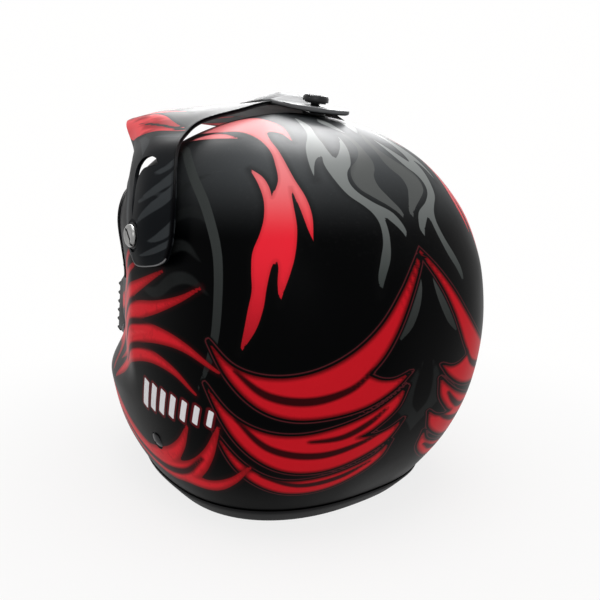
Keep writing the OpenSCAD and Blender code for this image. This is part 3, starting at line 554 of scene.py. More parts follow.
greyStripe = [
    [(-14, 121, 2.7), (8, 115.5, 2.7), (26, 104.5, 2.7), (43, 91.5, 2.7), (59, 77.5, 2.7), (70, 63.5, 2.7),
     (77, 50, 2.7), (80.5, 36, 2.7), (81.5, 20, 2.7), (80.5, 4, 2.6), (77, -10, 2.2), (71, -23, 1.2), (63, -36, 0.2)],
]
shadowFlames = [
    [(72, 62), (60, 70, 2.6), (48, 70, 3.6), (36, 63, 3.0), (24, 68)],
    [(68, 44), (56, 52, 2.6), (45, 51, 3.8), (32, 44, 3.2), (18, 48)],
    [(76, 26), (62, 34, 3.0), (48, 33, 4.2), (32, 24, 3.8), (16, 26, 2.0), (4, 34)],
    [(54, 96), (44, 90, 2.4), (34, 80, 3.2), (22, 82)],
    [(200, -20), (190, -40, 3.4), (184, -60, 5.0), (187, -80, 4.4), (182, -104)],
    [(176, -58), (186, -70, 3.0), (194, -88, 3.0), (192, -104)],
]
rearFlames = [
    [(76, 0, 1), (92, -14), (112, -19), (134, -16), (154, -5), (170, 13), (181, 37), (188, 62), (193, 88, 1),
     (191.5, 58), (186.5, 30), (180, 8), (172, -9), (162, -22, 1), (170, -28), (179, -30), (190, -27, 1), (178, -38),
     (160, -46), (138, -48), (118, -46), (102, -38), (88, -22)],
    [(72, -26, 1), (86, -44), (102, -54), (120, -58), (140, -57), (160, -53), (174, -47), (187, -39, 1), (178, -56),
     (162, -67), (150, -71, 1), (160, -74), (170, -74), (181, -70, 1), (166, -86), (142, -93), (120, -92),
     (100, -82), (84, -60)],
    [(72, -56, 1), (84, -78), (98, -92), (116, -98), (136, -100), (154, -98), (169, -89, 1), (156, -106),
     (134, -114), (112, -114), (92, -104), (78, -82)],
]
rearVeins = [
    [(92, -16), (108, -30, 1.6), (130, -35, 2.0), (152, -30, 1.3), (166, -18)],
    [(88, -46), (102, -66, 1.6), (126, -77, 2.0), (150, -77, 1.2), (166, -73)],
    [(124, -64), (142, -66, 1.4), (158, -61, 1.3), (171, -53)],
    [(90, -86), (106, -101, 1.4), (128, -106, 1.6), (150, -103)],
]
cheekFlames = [
    [(-74, -8), (-56, 8, 4), (-38, 20, 4.6), (-20, 29, 3.2), (-6, 35, 1.6), (12, 43)],
    [(-46, 6), (-32, 26, 3), (-20, 38, 3), (-8, 46, 1.6), (6, 52)],
    [(-78, -20), (-54, -4, 5.5), (-30, 10, 6.6), (-8, 20, 4.8), (14, 28, 2.6), (38, 37)],
    [(-70, -28), (-44, -12, 7), (-18, 3, 7.4), (8, 10, 5.6), (32, 15, 3.4), (54, 22, 1.4), (70, 30)],
    [(-66, -40), (-40, -24, 7), (-14, -11, 8), (12, -4, 6.6), (38, -3, 4.4), (60, -7, 2.2), (82, -18)],
    [(-60, -50), (-38, -38, 4.6), (-22, -27, 6), (2, -20, 5), (26, -18, 3.6), (48, -23, 1.8), (64, -34)],
    [(-186, -42), (-152, -14, 5), (-124, -4, 7), (-98, -7, 6.4), (-74, -18, 4), (-52, -32)],
    [(-206, -80), (-172, -64, 7), (-146, -58, 8.6), (-118, -57, 8), (-92, -62, 5), (-66, -74)],
    [(-166, -52), (-138, -36, 5), (-114, -33, 4), (-92, -38, 2), (-74, -48)],
    [(-136, -10), (-110, 8, 4.4), (-88, 13, 3), (-68, 12, 1.4), (-48, 6)],
    [(-100, -48), (-62, -68, 6.6), (-36, -83, 8.6), (-8, -92, 8.6), (20, -93, 7.4), (44, -86, 5.2),
     (62, -72, 2.8), (76, -52)],
    [(-4, -90, 6), (22, -83, 5), (40, -71, 2.8), (52, -56)],
    [(28, -94, 5), (52, -96, 3.6), (70, -90, 1.8), (86, -79)],
]
cheekVeins = [
    [(-54, -20, 0.4), (-34, 0, 1.6), (-12, 12, 1.4), (10, 19)],
    [(-40, -26, 0.4), (-14, -3, 1.4), (12, 3, 1.2), (36, 6)],
    [(-34, -34, 0.4), (-6, -17, 1.4), (24, -12, 1.2), (48, -14)],
    [(-56, -74, 0.4), (-26, -89, 1.6), (4, -95, 1.8), (34, -90, 1.3), (56, -76)],
]
# a row of slanted bars on the chart: the first one's middle, the way to the next, lean in degrees,
# half length and half width with what each bar loses
hashMarks = {"count": 7, "first": (11.0, -45.0), "step": (10.0, -0.5), "lean": 66, "halfLength": (10.5, -0.8),
             "halfWidth": (2.9, -0.2), "round": 0.8}


def strokePath(stroke, spacing=3.0):
    through = np.array([(*spot, thinnest)[:3] for spot in stroke])
    length = np.linalg.norm(np.diff(through[:, :2], axis=0), axis=1).sum()
    steps = max(len(stroke), int(length / spacing))
    return openCurve(through, np.linspace(0, 1, steps + 1))


def besidePath(flat, path, room):
    # the points of the chart that lie within reach of a path
    low, high = path[:, :2].min(0) - room, path[:, :2].max(0) + room
    return np.where(((flat > low) & (flat < high)).all(1))[0]


def offSegment(spot, a, b):
    # how far along a straight piece each point lies, and how far off it
    run = b - a
    t = np.clip(((spot - a) @ run) / max(run @ run, 1e-9), 0, 1)
    return t, np.linalg.norm(spot - a - t[:, None] * run, axis=1)


def strokeField(flat, strokes, soften=2.0):
    # distance inside the painted strokes in millimetres, below zero outside them
    field = np.full(len(flat), -40.0)
    for stroke in strokes:
        path = strokePath(stroke)
        near = besidePath(flat, path, path[:, 2].max() + 14)
        own = np.full(len(near), -40.0)
        for a, b in zip(path[:-1], path[1:]):
            t, away = offSegment(flat[near], a[:2], b[:2])
            own = np.maximum(own, a[2] + (b[2] - a[2]) * t - away)
        before = field[near]
        blend = np.maximum(soften - np.abs(before - own), 0) / soften
        field[near] = np.maximum(before, own) + blend * blend * soften / 4
    return field


def outlinePath(outline, spacing=2.0):
    # closed path through the points, smooth except at the tips
    count = len(outline)
    tips = [i for i, spot in enumerate(outline) if len(spot) > 2] or [0]
    plain = np.array([spot[:2] for spot in outline], float)
    path = []
    for k, start in enumerate(tips):
        end = tips[(k + 1) % len(tips)]
        end += count if end <= start else 0
        run = plain[[i % count for i in range(start, end + 1)]]
        length = np.linalg.norm(np.diff(run, axis=0), axis=1).sum()
        steps = max(2, int(length / spacing))
        path.append(openCurve(run, np.linspace(0, 1, steps, endpoint=False)))
    return np.concatenate(path)


def outlineField(flat, outlines):
    # distance inside closed outlines in millimetres, below zero outside them
    field = np.full(len(flat), -40.0)
    for outline in outlines:
        path = outlinePath(outline)
        near = besidePath(flat, path, 14)
        spot = flat[near]
        away, crossings = np.full(len(near), 99.0), np.zeros(len(near), int)
        for a, b in zip(path, np.roll(path, -1, axis=0)):
            run = b - a
            away = np.minimum(away, offSegment(spot, a, b)[1])
            if abs(run[1]) > 1e-12:
                spans = (spot[:, 1] < a[1]) != (spot[:, 1] < b[1])
                crossings += spans & (spot[:, 0] < a[0] + (spot[:, 1] - a[1]) * run[0] / run[1])
        field[near] = np.maximum(field[near], np.where(crossings % 2 == 1, away, -away))
    return field


sideCentre = {"height": 0.130, "radius": 130}


def sideChart(where):
    # unrolls each half of the shell from its side, in millimetres
    x, y, z = np.abs(where[:, 0]), where[:, 1], where[:, 2] - sideCentre["height"]
    away = np.hypot(y, z)
    reach = np.arctan2(away, x) * sideCentre["radius"]
    return np.stack([reach * y, reach * z], -1) / np.maximum(away, 1e-9)[:, None]


def addField(mesh, name, values):
    layer = mesh.attributes.new(name, "FLOAT", "POINT")
    layer.data.foreach_set("value", np.asarray(values, np.float32))


def barDistance(w, bars):
    # how far a point lies inside the nearest bar of the row, in millimetres
    across, up, _ = w.parts(w.node("ShaderNodeAttribute", attribute_name="chart").outputs["Vector"])
    (firstY, firstZ), (stepY, stepZ) = bars["first"], bars["step"]
    lean = math.radians(bars["lean"])
    level = w.times(w.minus(up, firstZ), -1 / math.tan(lean))
    along = w.math("DIVIDE", w.plus(w.minus(across, firstY), level), stepY)
    number = w.math("MINIMUM", w.math("MAXIMUM", w.math("ROUND", along), 0.0), bars["count"] - 1.0)
    offY = w.minus(across, w.math("MULTIPLY_ADD", number, stepY, firstY))
    offZ = w.minus(up, w.math("MULTIPLY_ADD", number, stepZ, firstZ))
    sides = []
    for (turnY, turnZ), (full, loss) in (((math.cos(lean), math.sin(lean)), bars["halfLength"]),
                                         ((-math.sin(lean), math.cos(lean)), bars["halfWidth"])):
        off = w.math("ABSOLUTE", w.math("MULTIPLY_ADD", offY, turnY, w.times(offZ, turnZ)))
        sides.append(w.minus(off, w.math("MULTIPLY_ADD", number, loss, full - bars["round"])))
    beyond = [w.math("MAXIMUM", value, 0.0) for value in sides]
    squares = [w.times(value, value) for value in beyond]
    corner = w.math("SQRT", w.plus(*squares))
    within = w.math("MINIMUM", w.math("MAXIMUM", sides[0], sides[1]), 0.0)
    return w.minus(bars["round"], w.plus(corner, within))


paint = {
    # crown: grey over the back of the crown, partly airbrushed, partly a painted highlight
    "black": ((0.0002, 0.0003, 0.0004), (0.0008, 0.0009, 0.0011)), "crown": (0.085, 0.092, 0.097),
    "shadow": (0.014, 0.0155, 0.0155), "stripe": ((0.014, 0.016, 0.016), (0.036, 0.040, 0.039)),
    # the grey flames' pale upper colour holds a painted sheen, and the dark lower one painted shade
    "smoke": ((0.016, 0.019, 0.018), (0.105, 0.110, 0.108)), "grey": ((0.034, 0.040, 0.038), (0.27, 0.285, 0.28)),
    # the red flames' dark lower colour is painted shade
    "greyRim": (0.003, 0.003, 0.003), "red": ((0.26, 0.005, 0.010), (0.80, 0.020, 0.036)),
    # the pink over the top of the red flames is a painted highlight
    "redTop": (0.82, 0.22, 0.23), "redRim": (0.002, 0.002, 0.002), "redEdge": (0.36, 0.010, 0.014),
    "rearGap": (0.0015, 0.0015, 0.0015),
    "rearLine": (0.090, 0.014, 0.018), "rear": ((0.110, 0.003, 0.005), (0.56, 0.009, 0.017)),
    "vein": (0.030, 0.002, 0.003), "haze": (0.022, 0.002, 0.003),
    "cheek": ((0.26, 0.006, 0.009), (0.66, 0.014, 0.024)),
    "spray": (0.26, 0.005, 0.009), "heart": (0.90, 0.075, 0.085), "markRim": (0.09, 0.004, 0.007),
    "mark": (0.78, 0.77, 0.79), "dust": (0.35, 0.35, 0.35),
}
# heights in metres between which each colour changes; the red and grey going lighter upward is painted shading and
# sheen, the pink on the red's top is a painted highlight, and the crown's grey is partly one
fades = {"crown": (0.186, 0.262), "stripe": (0.08, 0.20), "smoke": (0.10, 0.26), "grey": (0.15, 0.262),
         "red": (0.105, 0.185), "redTop": (0.186, 0.232)}


def paintMaterial():
    # satin paint: flames over black, each with airbrushed shading by its field in millimetres
    w = newMaterial("satinPaint", 0.34, Specular_IOR_Level=0.02)

    def inside(value, edge=0.0, soft=0.18):
        return w.span(value, edge - soft, edge + soft)

    def fade(name, share):
        return w.mixColour(share, *paint[name])

    def lay(under, name, share):
        return w.mixColour(share, under, paint[name])

    where = w.place()
    _, backward, height = w.parts(where)
    mist = w.noise(22.0, 4.0, where)
    fleck = w.noise(900.0, 2.0, where)
    # the black fades to grey over the back of the crown: partly airbrushed grey, partly a painted highlight for the
    # sheen there
    crown = w.times(w.span(height, *fades["crown"]), w.span(backward, 0.0, 0.085, 0.16, 1.0))
    colour = lay(fade("black", mist), "crown", crown)
    shadowShare = w.times(inside(w.field("shadow"), 0.3, 1.0), w.span(mist, 0.2, 0.7, 0.4, 0.9))
    colour = lay(colour, "shadow", shadowShare)
    colour = w.mixColour(inside(w.field("stripe")), colour, fade("stripe", w.span(height, *fades["stripe"])))
    colour = w.mixColour(inside(w.field("smoke")), colour, fade("smoke", w.span(height, *fades["smoke"])))
    field = w.field("grey")
    colour = lay(colour, "greyRim", w.span(field, -5.0, 0.0, 0.0, 0.35))
    # the grey flames go lighter toward the top as painted shading and sheen
    colour = w.mixColour(inside(field), colour, fade("grey", w.span(height, *fades["grey"])))
    field = w.field("red")
    # the red darkens downward as painted shading and turns pink over the top as a painted highlight
    shaded = lay(fade("red", w.span(height, *fades["red"])), "redTop", w.span(height, *fades["redTop"]))
    shaded = lay(shaded, "redEdge", w.span(field, 0.0, 2.2, 0.35, 0.0))
    colour = lay(colour, "redRim", w.span(field, -4.0, 0.0, 0.0, 0.5))
    colour = w.mixColour(inside(field), colour, shaded)
    # rear flames: dark gap, thin outline, shaded edge, then the full red
    field = w.field("rear")
    outline = w.times(inside(field, -2.3, 0.2), w.minus(1.0, inside(field, -1.5, 0.2)))
    colour = lay(colour, "rearGap", w.span(field, -4.0, -2.8))
    colour = lay(colour, "rearLine", w.times(outline, 0.8))
    shaded = lay(fade("rear", w.span(field, 0.0, 3.4)), "vein", w.span(w.field("rearVeins"), -2.4, 0.2))
    colour = w.mixColour(inside(field), colour, shaded)
    # cheek flames: sprayed, with a red haze round them and a bright heart
    field = w.field("cheek")
    colour = lay(colour, "haze", w.span(field, -4.0, 0.0, 0.0, 0.7))
    shaded = lay(fade("cheek", w.span(field, -0.6, 3.0)), "spray",
                 w.span(w.noise(150.0, 4.0, where, 0.6), 0.50, 0.72, 0.0, 0.45))
    shaded = lay(shaded, "heart", w.span(field, 4.5, 8.0, 0.0, 0.4))
    shaded = lay(shaded, "vein", w.span(w.field("cheekVeins"), -2.4, 0.2))
    colour = w.mixColour(w.span(field, -0.95, -0.35), colour, shaded)
    field = barDistance(w, hashMarks)
    colour = lay(colour, "markRim", w.span(field, -2.4, -1.1))
    colour = lay(colour, "mark", inside(field))
    colour = lay(colour, "dust", w.group(dustGroup, {"Amount": 0.03})["Mask"])
    w.feed(w.surface.inputs["Roughness"], w.plus(w.span(mist, 0.25, 0.75, 0.30, 0.38), w.times(fleck, 0.04)))
    w.finish(colour, fleck, 0.000006)


paintMaterial()


def makeShell():
    size = {"columns": 320, "outerRows": 205, "innerRows": 22, "play": 0.06 * mm, "spotPlay": 0.7 * mm,
            "sideHole": (0.105, 0.140), "strapHole": (-0.012, 0.010), "spotTop": 0.008, "topHole": (-0.008, 0.012)}
    a = np.arange(size["columns"]) * 360 / size["columns"]
    edge, wall = shellForm["rimShare"], shellForm["wall"]
    top = shellAt(1.0, 0.0)
    rows = [np.broadcast_to(top, (len(a), 3))]
    rows += [shellAt(u, a) for u in np.linspace(1, edge, size["outerRows"] + 1)[1:]]
    rows += [sunk(u, a, wall) for u in np.linspace(edge, 1, size["innerRows"] + 1)[:-1]]
    rows.append(np.broadcast_to(top - np.array([0, 0, wall]), (len(a), 3)))
    shell = addObject("shell", gridMesh("shell", np.array(rows), around=True))
    combine(shell, portTool(0))
    combine(shell, ventTool(0))
    hole, shank = screws["insertRadius"] + size["play"], rivet["shank"] + size["play"]
    for side in (-1, 1):
        out = turnedTo((0, screws["y"], screws["z"]), (side, 0, 0))
        combine(shell, drum("hole", hole, *size["sideHole"], out))
        combine(shell, drum("hole", shank, *size["strapHole"], rivetMatrix(side)))
        combine(shell, drum("hole", rivet["head"] + size["spotPlay"], -rivet["spot"], size["spotTop"],
                            rivetMatrix(side)))
    combine(shell, drum("hole", hole, *size["topHole"], topMatrix))
    mesh = shell.data
    chart = sideChart(points(mesh))
    for name, outlines in (("red", redFlames), ("grey", greyFlames), ("smoke", smokeFlames), ("rear", rearFlames)):
        addField(mesh, name, outlineField(chart, outlines))
    for name, strokes in (("stripe", greyStripe), ("shadow", shadowFlames), ("cheek", cheekFlames),
                          ("rearVeins", rearVeins), ("cheekVeins", cheekVeins)):
        addField(mesh, name, strokeField(chart, strokes))
    layer = mesh.attributes.new("chart", "FLOAT_VECTOR", "POINT")
    layer.data.foreach_set("vector", np.column_stack([chart, np.zeros(len(chart))]).astype(np.float32).ravel())
    shadeSmooth(mesh, 35)
    finishPiece(shell, "helmet", "shell_paint", "satinPaint", "outer_shell")
    # bare plastic on the inner face
    mesh.materials.append(materials["rawPlastic"])
    centre = Vector((0, -0.01, 0.12))
    inward = [int(face.normal.dot(face.center - centre) < 0) for face in mesh.polygons]
    mesh.polygons.foreach_set("material_index", inward)
    print("shell", len(mesh.vertices))


makeShell()


def makePortBead():
    # rubber bead that clasps the edge of the eye port
    size = {"lip": 1.5 * mm, "tuck": 0.1 * mm, "voxel": 0.62 * mm, "rows": 60, "columns": 150, "rounds": 6,
            "shares": (0.45, 0.94), "turns": (186, 354)}
    u = np.linspace(*size["shares"], size["rows"])[:, None]
    a = np.linspace(*size["turns"], size["columns"])[None, :]
    mesh = gridMesh("portBead", sunk(u, a, -size["lip"]))
    faceOut(mesh, (0, -0.05, 0.15))
    bead = addObject("portBead", mesh)
    thicken(bead, shellForm["wall"] + 2 * size["lip"])
    combine(bead, portTool(-size["tuck"]), "INTERSECT")
    combine(bead, portTool(-port["bead"]))
    remesh(bead, size["voxel"])
    modify(bead, "SMOOTH", iterations=size["rounds"])
    bead.data.shade_smooth()
    finishPiece(bead, "helmet", "trim_rubber", "blackRubber", "eye_port_trim")


# section of the base trim: share of the way up the shell, and millimetres under its outer face
trimSection = [(0.0, 2.0), (0.0, 4.2), (0.003, 5.1), (0.010, 5.6), (0.030, 5.6), (0.048, 5.6), (0.054, 5.2),
               (0.056, 4.8), (0.055, 4.4), (0.029, 4.4), (0.029, 2.0), (0.029, -0.4), (0.079, -0.4), (0.081, -0.7),
               (0.078, -1.2), (0.073, -1.6), (0.060, -1.6), (0.045, -1.6), (0.022, -1.6), (0.010, -1.5),
               (0.003, -1.0), (0.0, -0.2)]


def makeBaseTrim():
    # moulding round the shell's lower edge, swept along the rim
    columns = 240
    a = np.arange(columns) * 360 / columns
    rows = np.array([sunk(u, a, depth * mm) for u, depth in trimSection + trimSection[:1]])
    rows[..., 2] = np.maximum(rows[..., 2], 0)
    trim = addObject("baseTrim", gridMesh("baseTrim", rows, around=True))
    shadeSmooth(trim.data, 50)
    finishPiece(trim, "helmet", "trim_rubber", "blackRubber", "base_trim")


makePortBead()
makeBaseTrim()
print("trims")


# Outer face of the visor: four lines from the rear edge to the front edge, each from the
# middle over the fold to the foot of the arm, in millimetres, heights from the crown
visorLines = [
    [(0, 8, 6.5), (24, 9, 6), (46, 5, -0.5), (70, -3, -8.5), (88, 6, -19), (104, 24, -32), (118.5, 48, -59),
     (124, 54, -83), (126.5, 49, -98.5)],
    [(0, -50, 10), (24, -49, 9), (46, -46, 5), (72, -42, -3), (94, -28, -17.5), (112, 0, -34), (127, 27, -63),
     (131, 31, -86), (129.5, 30, -101)],
    [(0, -120, 14), (26, -117, 12.5), (50, -108, 8), (73, -91, -1), (92, -60, -21), (108, -32, -38), (126, 6, -64),
     (131, 15, -86), (129.5, 17, -101)],
    [(0, -196, 14), (27, -187, 12.5), (51, -163, 7), (70, -130, -2.5), (83, -87, -25), (99, -55, -39),
     (121.5, -13, -63.5), (128.5, 3, -86), (129.5, 10, -96.5)],
]
visorForm = {"thickness": 2.6 * mm, "rows": 84, "halfColumns": 78, "bevel": 0.7 * mm, "footRound": 0.030,
             "footShare": 0.18, "ease": {"y": -0.033, "z": 0.214, "radius": 0.026, "out": 0.0012},
             "bossFace": 0.126085, "bossHeight": 0.0034, "bossRadius": 0.0105, "clearRadius": 0.0095,
             "seatRadius": 0.010, "bushRadius": 0.00506, "drill": 0.012, "bushDrill": 0.006,
             "window": (0.080, 0.150)}
# the tongue in the top screw's frame: half width of the rim, backward and up, then the crest's height at each
tongueForm = {"low": 0.0036, "half": 0.022, "end": 0.024, "bevel": 0.6 * mm, "slotHalf": 0.0035, "slotTravel": 0.00756,
              "drill": 0.004, "rimRadius": 0.0016, "crestHalf": 9,
              "rim": [(21, -62, -3), (21, -50, 0), (21, -40, 2.2), (21, -32, 3.8), (21, -24, 4.6), (21.6, -18, 4.6),
                      (22.4, -9, 4.6), (22.8, 0, 4.6), (21.3, 8, 4.6), (17.4, 14.7, 4.6), (12, 19.4, 4.6),
                      (6, 22, 4.6), (0, 22.8, 4.6)],
              "crest": [-0.5, 4.4, 8.0, 9.2, 8.2, 4.7, 4.6, 4.6, 4.6, 4.6, 4.6, 4.6, 4.6]}
# window ahead of the screw, seen from the side: millimetres backward and up, sharp where a third value stands
visorWindow = [(19, 230, 1), (12, 234), (3, 235.5), (-6, 234), (-11, 229), (-9, 223.5), (-4, 218), (2, 211.5),
               (8, 205), (14, 198, 1), (11, 206), (6.5, 212.5), (3, 218.5), (2.5, 223.5), (5.5, 227.5), (12, 229)]


def visorAt(s, t):
    # s runs from the rear edge to the front one, t from the right foot (-1) to the left (1)
    s, t = np.broadcast_arrays(np.asarray(s, float), np.asarray(t, float))
    across = []
    for line in visorLines:
        end, last = np.array(line[-1]), np.array(line[-2])
        across.append(flowCurve(line, np.abs(t), (-line[1][0], *line[1][1:]), 2 * end - last))
    across = np.array(across)
    p = np.concatenate([[2 * across[0] - across[1]], across, [2 * across[3] - across[2]]])
    i = np.clip(np.floor(s * 3).astype(int), 0, 2)
    spot = np.indices(s.shape)
    q = bend(*(p[(i + k, *spot)] for k in range(4)), (s * 3 - i)[..., None])
    sign = np.where(t < 0, -1.0, 1.0)
    return np.stack([sign * q[..., 0], q[..., 1], q[..., 2] + 270], -1) * mm


# strokes on the visor's chart: millimetres backward, then down along the face from the middle
visorRed = [
    [(-172, 72, 2), (-144, 82, 6.5), (-114, 88, 8), (-84, 91, 8), (-56, 97, 6), (-30, 105, 3.4), (-4, 113)],
    [(-150, 93, 3), (-118, 101, 6.5), (-88, 107, 7), (-60, 111, 5.5), (-32, 115, 3.4), (2, 119)],
    [(-178, 54, 2), (-150, 62, 5), (-118, 69, 4.6), (-86, 74, 3.2), (-58, 77, 1.6), (-30, 81)],
    [(-190, 34, 2), (-164, 44, 4.5), (-132, 52, 3.6), (-100, 58, 1.8), (-74, 62)],
    [(-196, 6, 3), (-170, 16, 3.6), (-134, 26, 2.4), (-100, 32)],
]
visorShadow = [
    [(18, 168), (28, 165, 2.6), (40, 160, 4), (54, 152, 5)],
    [(14, 184), (26, 179, 2.6), (38, 173, 4), (52, 168, 4)],
    [(20, 199), (30, 191, 3), (42, 184, 5), (58, 179, 6)],
    [(34, 214), (42, 212, 3), (50, 209, 5), (62, 206, 6.5)],
    [(24, 230), (36, 226, 3), (48, 222, 4), (60, 222, 4)],
    [(-30, 160), (-18, 172, 3), (-6, 184, 4), (2, 198, 3), (6, 212)],
    [(34, 138, 4), (20, 132, 5), (6, 128, 4), (-12, 128, 2), (-26, 132)],
    [(-60, 120), (-40, 126, 3), (-18, 140, 4), (-8, 152)],
]


# the pale top and tongue colours are painted highlights; the under and rear edge darks are painted shade
visorColours = {"dark": ((0.0035, 0.0042, 0.0050), (0.0085, 0.0098, 0.0115)), "top": (0.060, 0.060, 0.061),
                "under": (0.0012, 0.0012, 0.0015), "tongue": (0.118, 0.120, 0.124), "shadow": (0.034, 0.038, 0.041),
                "redRim": (0.004, 0.003, 0.003), "red": ((0.84, 0.080, 0.090), (0.40, 0.014, 0.020)),
                "rearEdgeShade": (0.0015, 0.0015, 0.002), "footEdge": (0.22, 0.22, 0.225)}
# where the visor's colours change, in metres: height, tongue's half width, its front, its foot, and its top
visorFades = {"top": (0.235, 0.285), "aside": (0.023, 0.028), "front": (-0.060, -0.030), "foot": (0.002, 0.008),
              "crest": (0.0030, 0.0046)}


def visorPaint():
    w = newMaterial("satinVisor", 0.42, Specular_IOR_Level=0.014)

    def lay(under, name, share):
        return w.mixColour(share, under, visorColours[name])

    where = w.place()
    aside, backward, height = w.parts(where)
    mist = w.noise(24.0, 4.0, where)
    # the visor is painted paler toward its top as a highlight for the sheen on its upper face
    colour = lay(w.mixColour(mist, *visorColours["dark"]), "top", w.span(height, *visorFades["top"]))
    # the tongue is painted paler on top as a highlight, with a black foot over the shell as painted shade
    tilt = math.radians(screws["topTilt"])
    above = w.math("MULTIPLY_ADD", w.minus(backward, screws["topY"]), math.sin(tilt),
                   w.times(w.minus(height, screws["topZ"]), math.cos(tilt)))
    middle = w.times(w.span(w.math("ABSOLUTE", aside), *visorFades["aside"], 1.0, 0.0),
                     w.span(backward, *visorFades["front"]))
    tongue = lay(colour, "under", w.span(backward, *visorFades["foot"]))
    tongue = lay(tongue, "tongue", w.span(above, *visorFades["crest"]))
    colour = lay(w.mixColour(middle, colour, tongue), "shadow", w.span(w.field("shadow"), -0.6, 0.8, 0.0, 0.9))
    redField = w.field("red")
    colour = lay(colour, "redRim", w.span(redField, -4.0, -0.2, 0.0, 0.6))
    streak = w.noise(70.0, 2.0, w.node("ShaderNodeMapping", {"Vector": where, "Scale": (1.0, 0.25, 1.0)}).outputs[0])
    red = w.mixColour(w.span(streak, 0.40, 0.62), *visorColours["red"])
    colour = w.mixColour(w.span(redField, -0.3, 0.3), colour, red)
    # the rear edge painted dark as shade where it meets the shell, and a pale line along each foot
    colour = lay(colour, "rearEdgeShade", w.span(w.field("rearEdgeShade"), 1.0, 2.8, 1.0, 0.0))
    colour = lay(colour, "footEdge", w.span(w.field("footEdge"), 0.5, 1.0, 0.8, 0.0))
    w.feed(w.surface.inputs["Roughness"], w.span(mist, 0.25, 0.75, 0.36, 0.44))
    w.finish(colour, w.group(grainGroup, {"Scale": 1500.0, "Tone": 0.2})["Height"], 0.00001)


visorPaint()


def treeOf(spots):
    tree = KDTree(len(spots))
    for i, spot in enumerate(spots):
        tree.insert(spot, i)
    tree.balance()
    return tree


def addTongue(visor):
    # the tongue under the top screw: a plate with a thin rim and a domed crest ahead of the screw
    form = tongueForm
    low, high = form["low"], form["low"] + visorForm["thickness"]
    tongue = drum("tongue", form["end"], low, high, topMatrix, 96)
    corners = [topMatrix @ Vector((x, y, z)) for x in (-form["half"], form["half"])
               for y in (-form["end"], 0) for z in (low, high)]
    combine(tongue, hullOf("tongueFoot", corners), "UNION")
    softenEdges(tongue, form["bevel"], 60)
    combine(visor, tongue, "UNION")
    bm = bmesh.new()
    bmesh.ops.create_icosphere(bm, subdivisions=2, radius=form["rimRadius"])
    ball = [v.co.copy() for v in bm.verts]
    bm.free()
    ribs = [((x, y, z), (min(form["crestHalf"], x), y, top)) for (x, y, z), top in zip(form["rim"], form["crest"])]
    for near, far in zip(ribs, ribs[1:]):
        spots = [topMatrix @ (Vector((side * x, y, z)) * mm + spot)
                 for side in (-1, 1) for x, y, z in near + far for spot in ball]
        combine(visor, hullOf("dome", spots), "UNION")
    return low, high


def makeVisor():
    form = visorForm
    s = np.linspace(0, 1, form["rows"])
    t = np.linspace(-1, 1, 2 * form["halfColumns"] + 1)
    # each foot ends in round corners
    corner = np.clip(1 - np.minimum(s, 1 - s) / form["footShare"], 0, 1)
    shorter = 1 - form["footRound"] * (1 - np.sqrt(1 - corner ** 2))
    sheet = visorAt(s[:, None], t[None, :] * shorter[:, None])
    # the arms stand a little further out where they pass the eye port when the visor lifts
    gap = form["ease"]
    apart = np.hypot(sheet[..., 1] - gap["y"], sheet[..., 2] - gap["z"])
    push = gap["out"] * (1 - ease(apart / gap["radius"])) * ease((np.abs(t) - 0.4) / 0.1)
    sheet[..., 0] += np.sign(sheet[..., 0]) * push
    mesh = gridMesh("visorPeak", sheet)
    faceOut(mesh, (0, -0.03, 0.15))
    visor = addObject("visorPeak", mesh)
    thicken(visor, form["thickness"])
    softenEdges(visor, form["bevel"], 55)
    low, high = addTongue(visor)
    face, top = form["bossFace"], form["bossFace"] + form["bossHeight"]
    for side in (-1, 1):
        out = turnedTo((0, screws["y"], screws["z"]), (side, 0, 0))
        combine(visor, drum("boss", form["bossRadius"], face, top, out, 64), "UNION")
        combine(visor, drum("clear", form["clearRadius"], face - form["drill"], face, out, 64))
        combine(visor, drum("seat", form["seatRadius"], top, top + form["drill"], out, 64))
        combine(visor, drum("bore", form["bushRadius"], face - form["bushDrill"], top + form["bushDrill"], out, 64))
        inner, outer = (side * reach for reach in form["window"])
        combine(visor, extrudeSide("window", outlinePath(visorWindow, 1.0) * mm, inner, outer))
    radius, travel, drill = (tongueForm[key] for key in ("slotHalf", "slotTravel", "drill"))
    combine(visor, hullOf("slot", [topMatrix @ Vector((radius * math.cos(turn), end + radius * math.sin(turn), z))
                                   for turn in np.linspace(0, 2 * math.pi, 48, endpoint=False)
                                   for end in (-travel, travel) for z in (low - drill, high + drill)]))
    # the paint's chart: backward, and down along the face from the middle
    mesh = visor.data
    where = points(mesh)
    tree = treeOf(sheet.reshape(-1, 3))
    reach = np.linalg.norm(np.diff(visorAt(0.6, np.linspace(0, 1, 60)), axis=0), axis=1).sum() / mm
    chart = np.empty((len(where), 2))
    for k, spot in enumerate(where):
        near = tree.find_n(spot, 3)
        weights = np.array([1 / (d + 1e-6) for _, _, d in near])
        columns = np.array([abs(t[i % len(t)]) for _, i, _ in near])
        chart[k] = (spot[1] / mm, (weights @ columns) / weights.sum() * reach)
    addField(mesh, "red", strokeField(chart, visorRed))
    addField(mesh, "shadow", strokeField(chart, visorShadow))
    # distances to the rear edge, for its painted shade, and to each foot
    for name, border in (("rearEdgeShade", sheet[:1]), ("footEdge", sheet[:, [0, -1]])):
        edge = treeOf(border.reshape(-1, 3))
        addField(mesh, name, [edge.find(spot)[2] / mm for spot in where])
    shadeSmooth(mesh, 33)
    finishPiece(visor, "peak", "visor_plastic", "satinVisor", "visor")
    print("visor", len(mesh.vertices))


makeVisor()


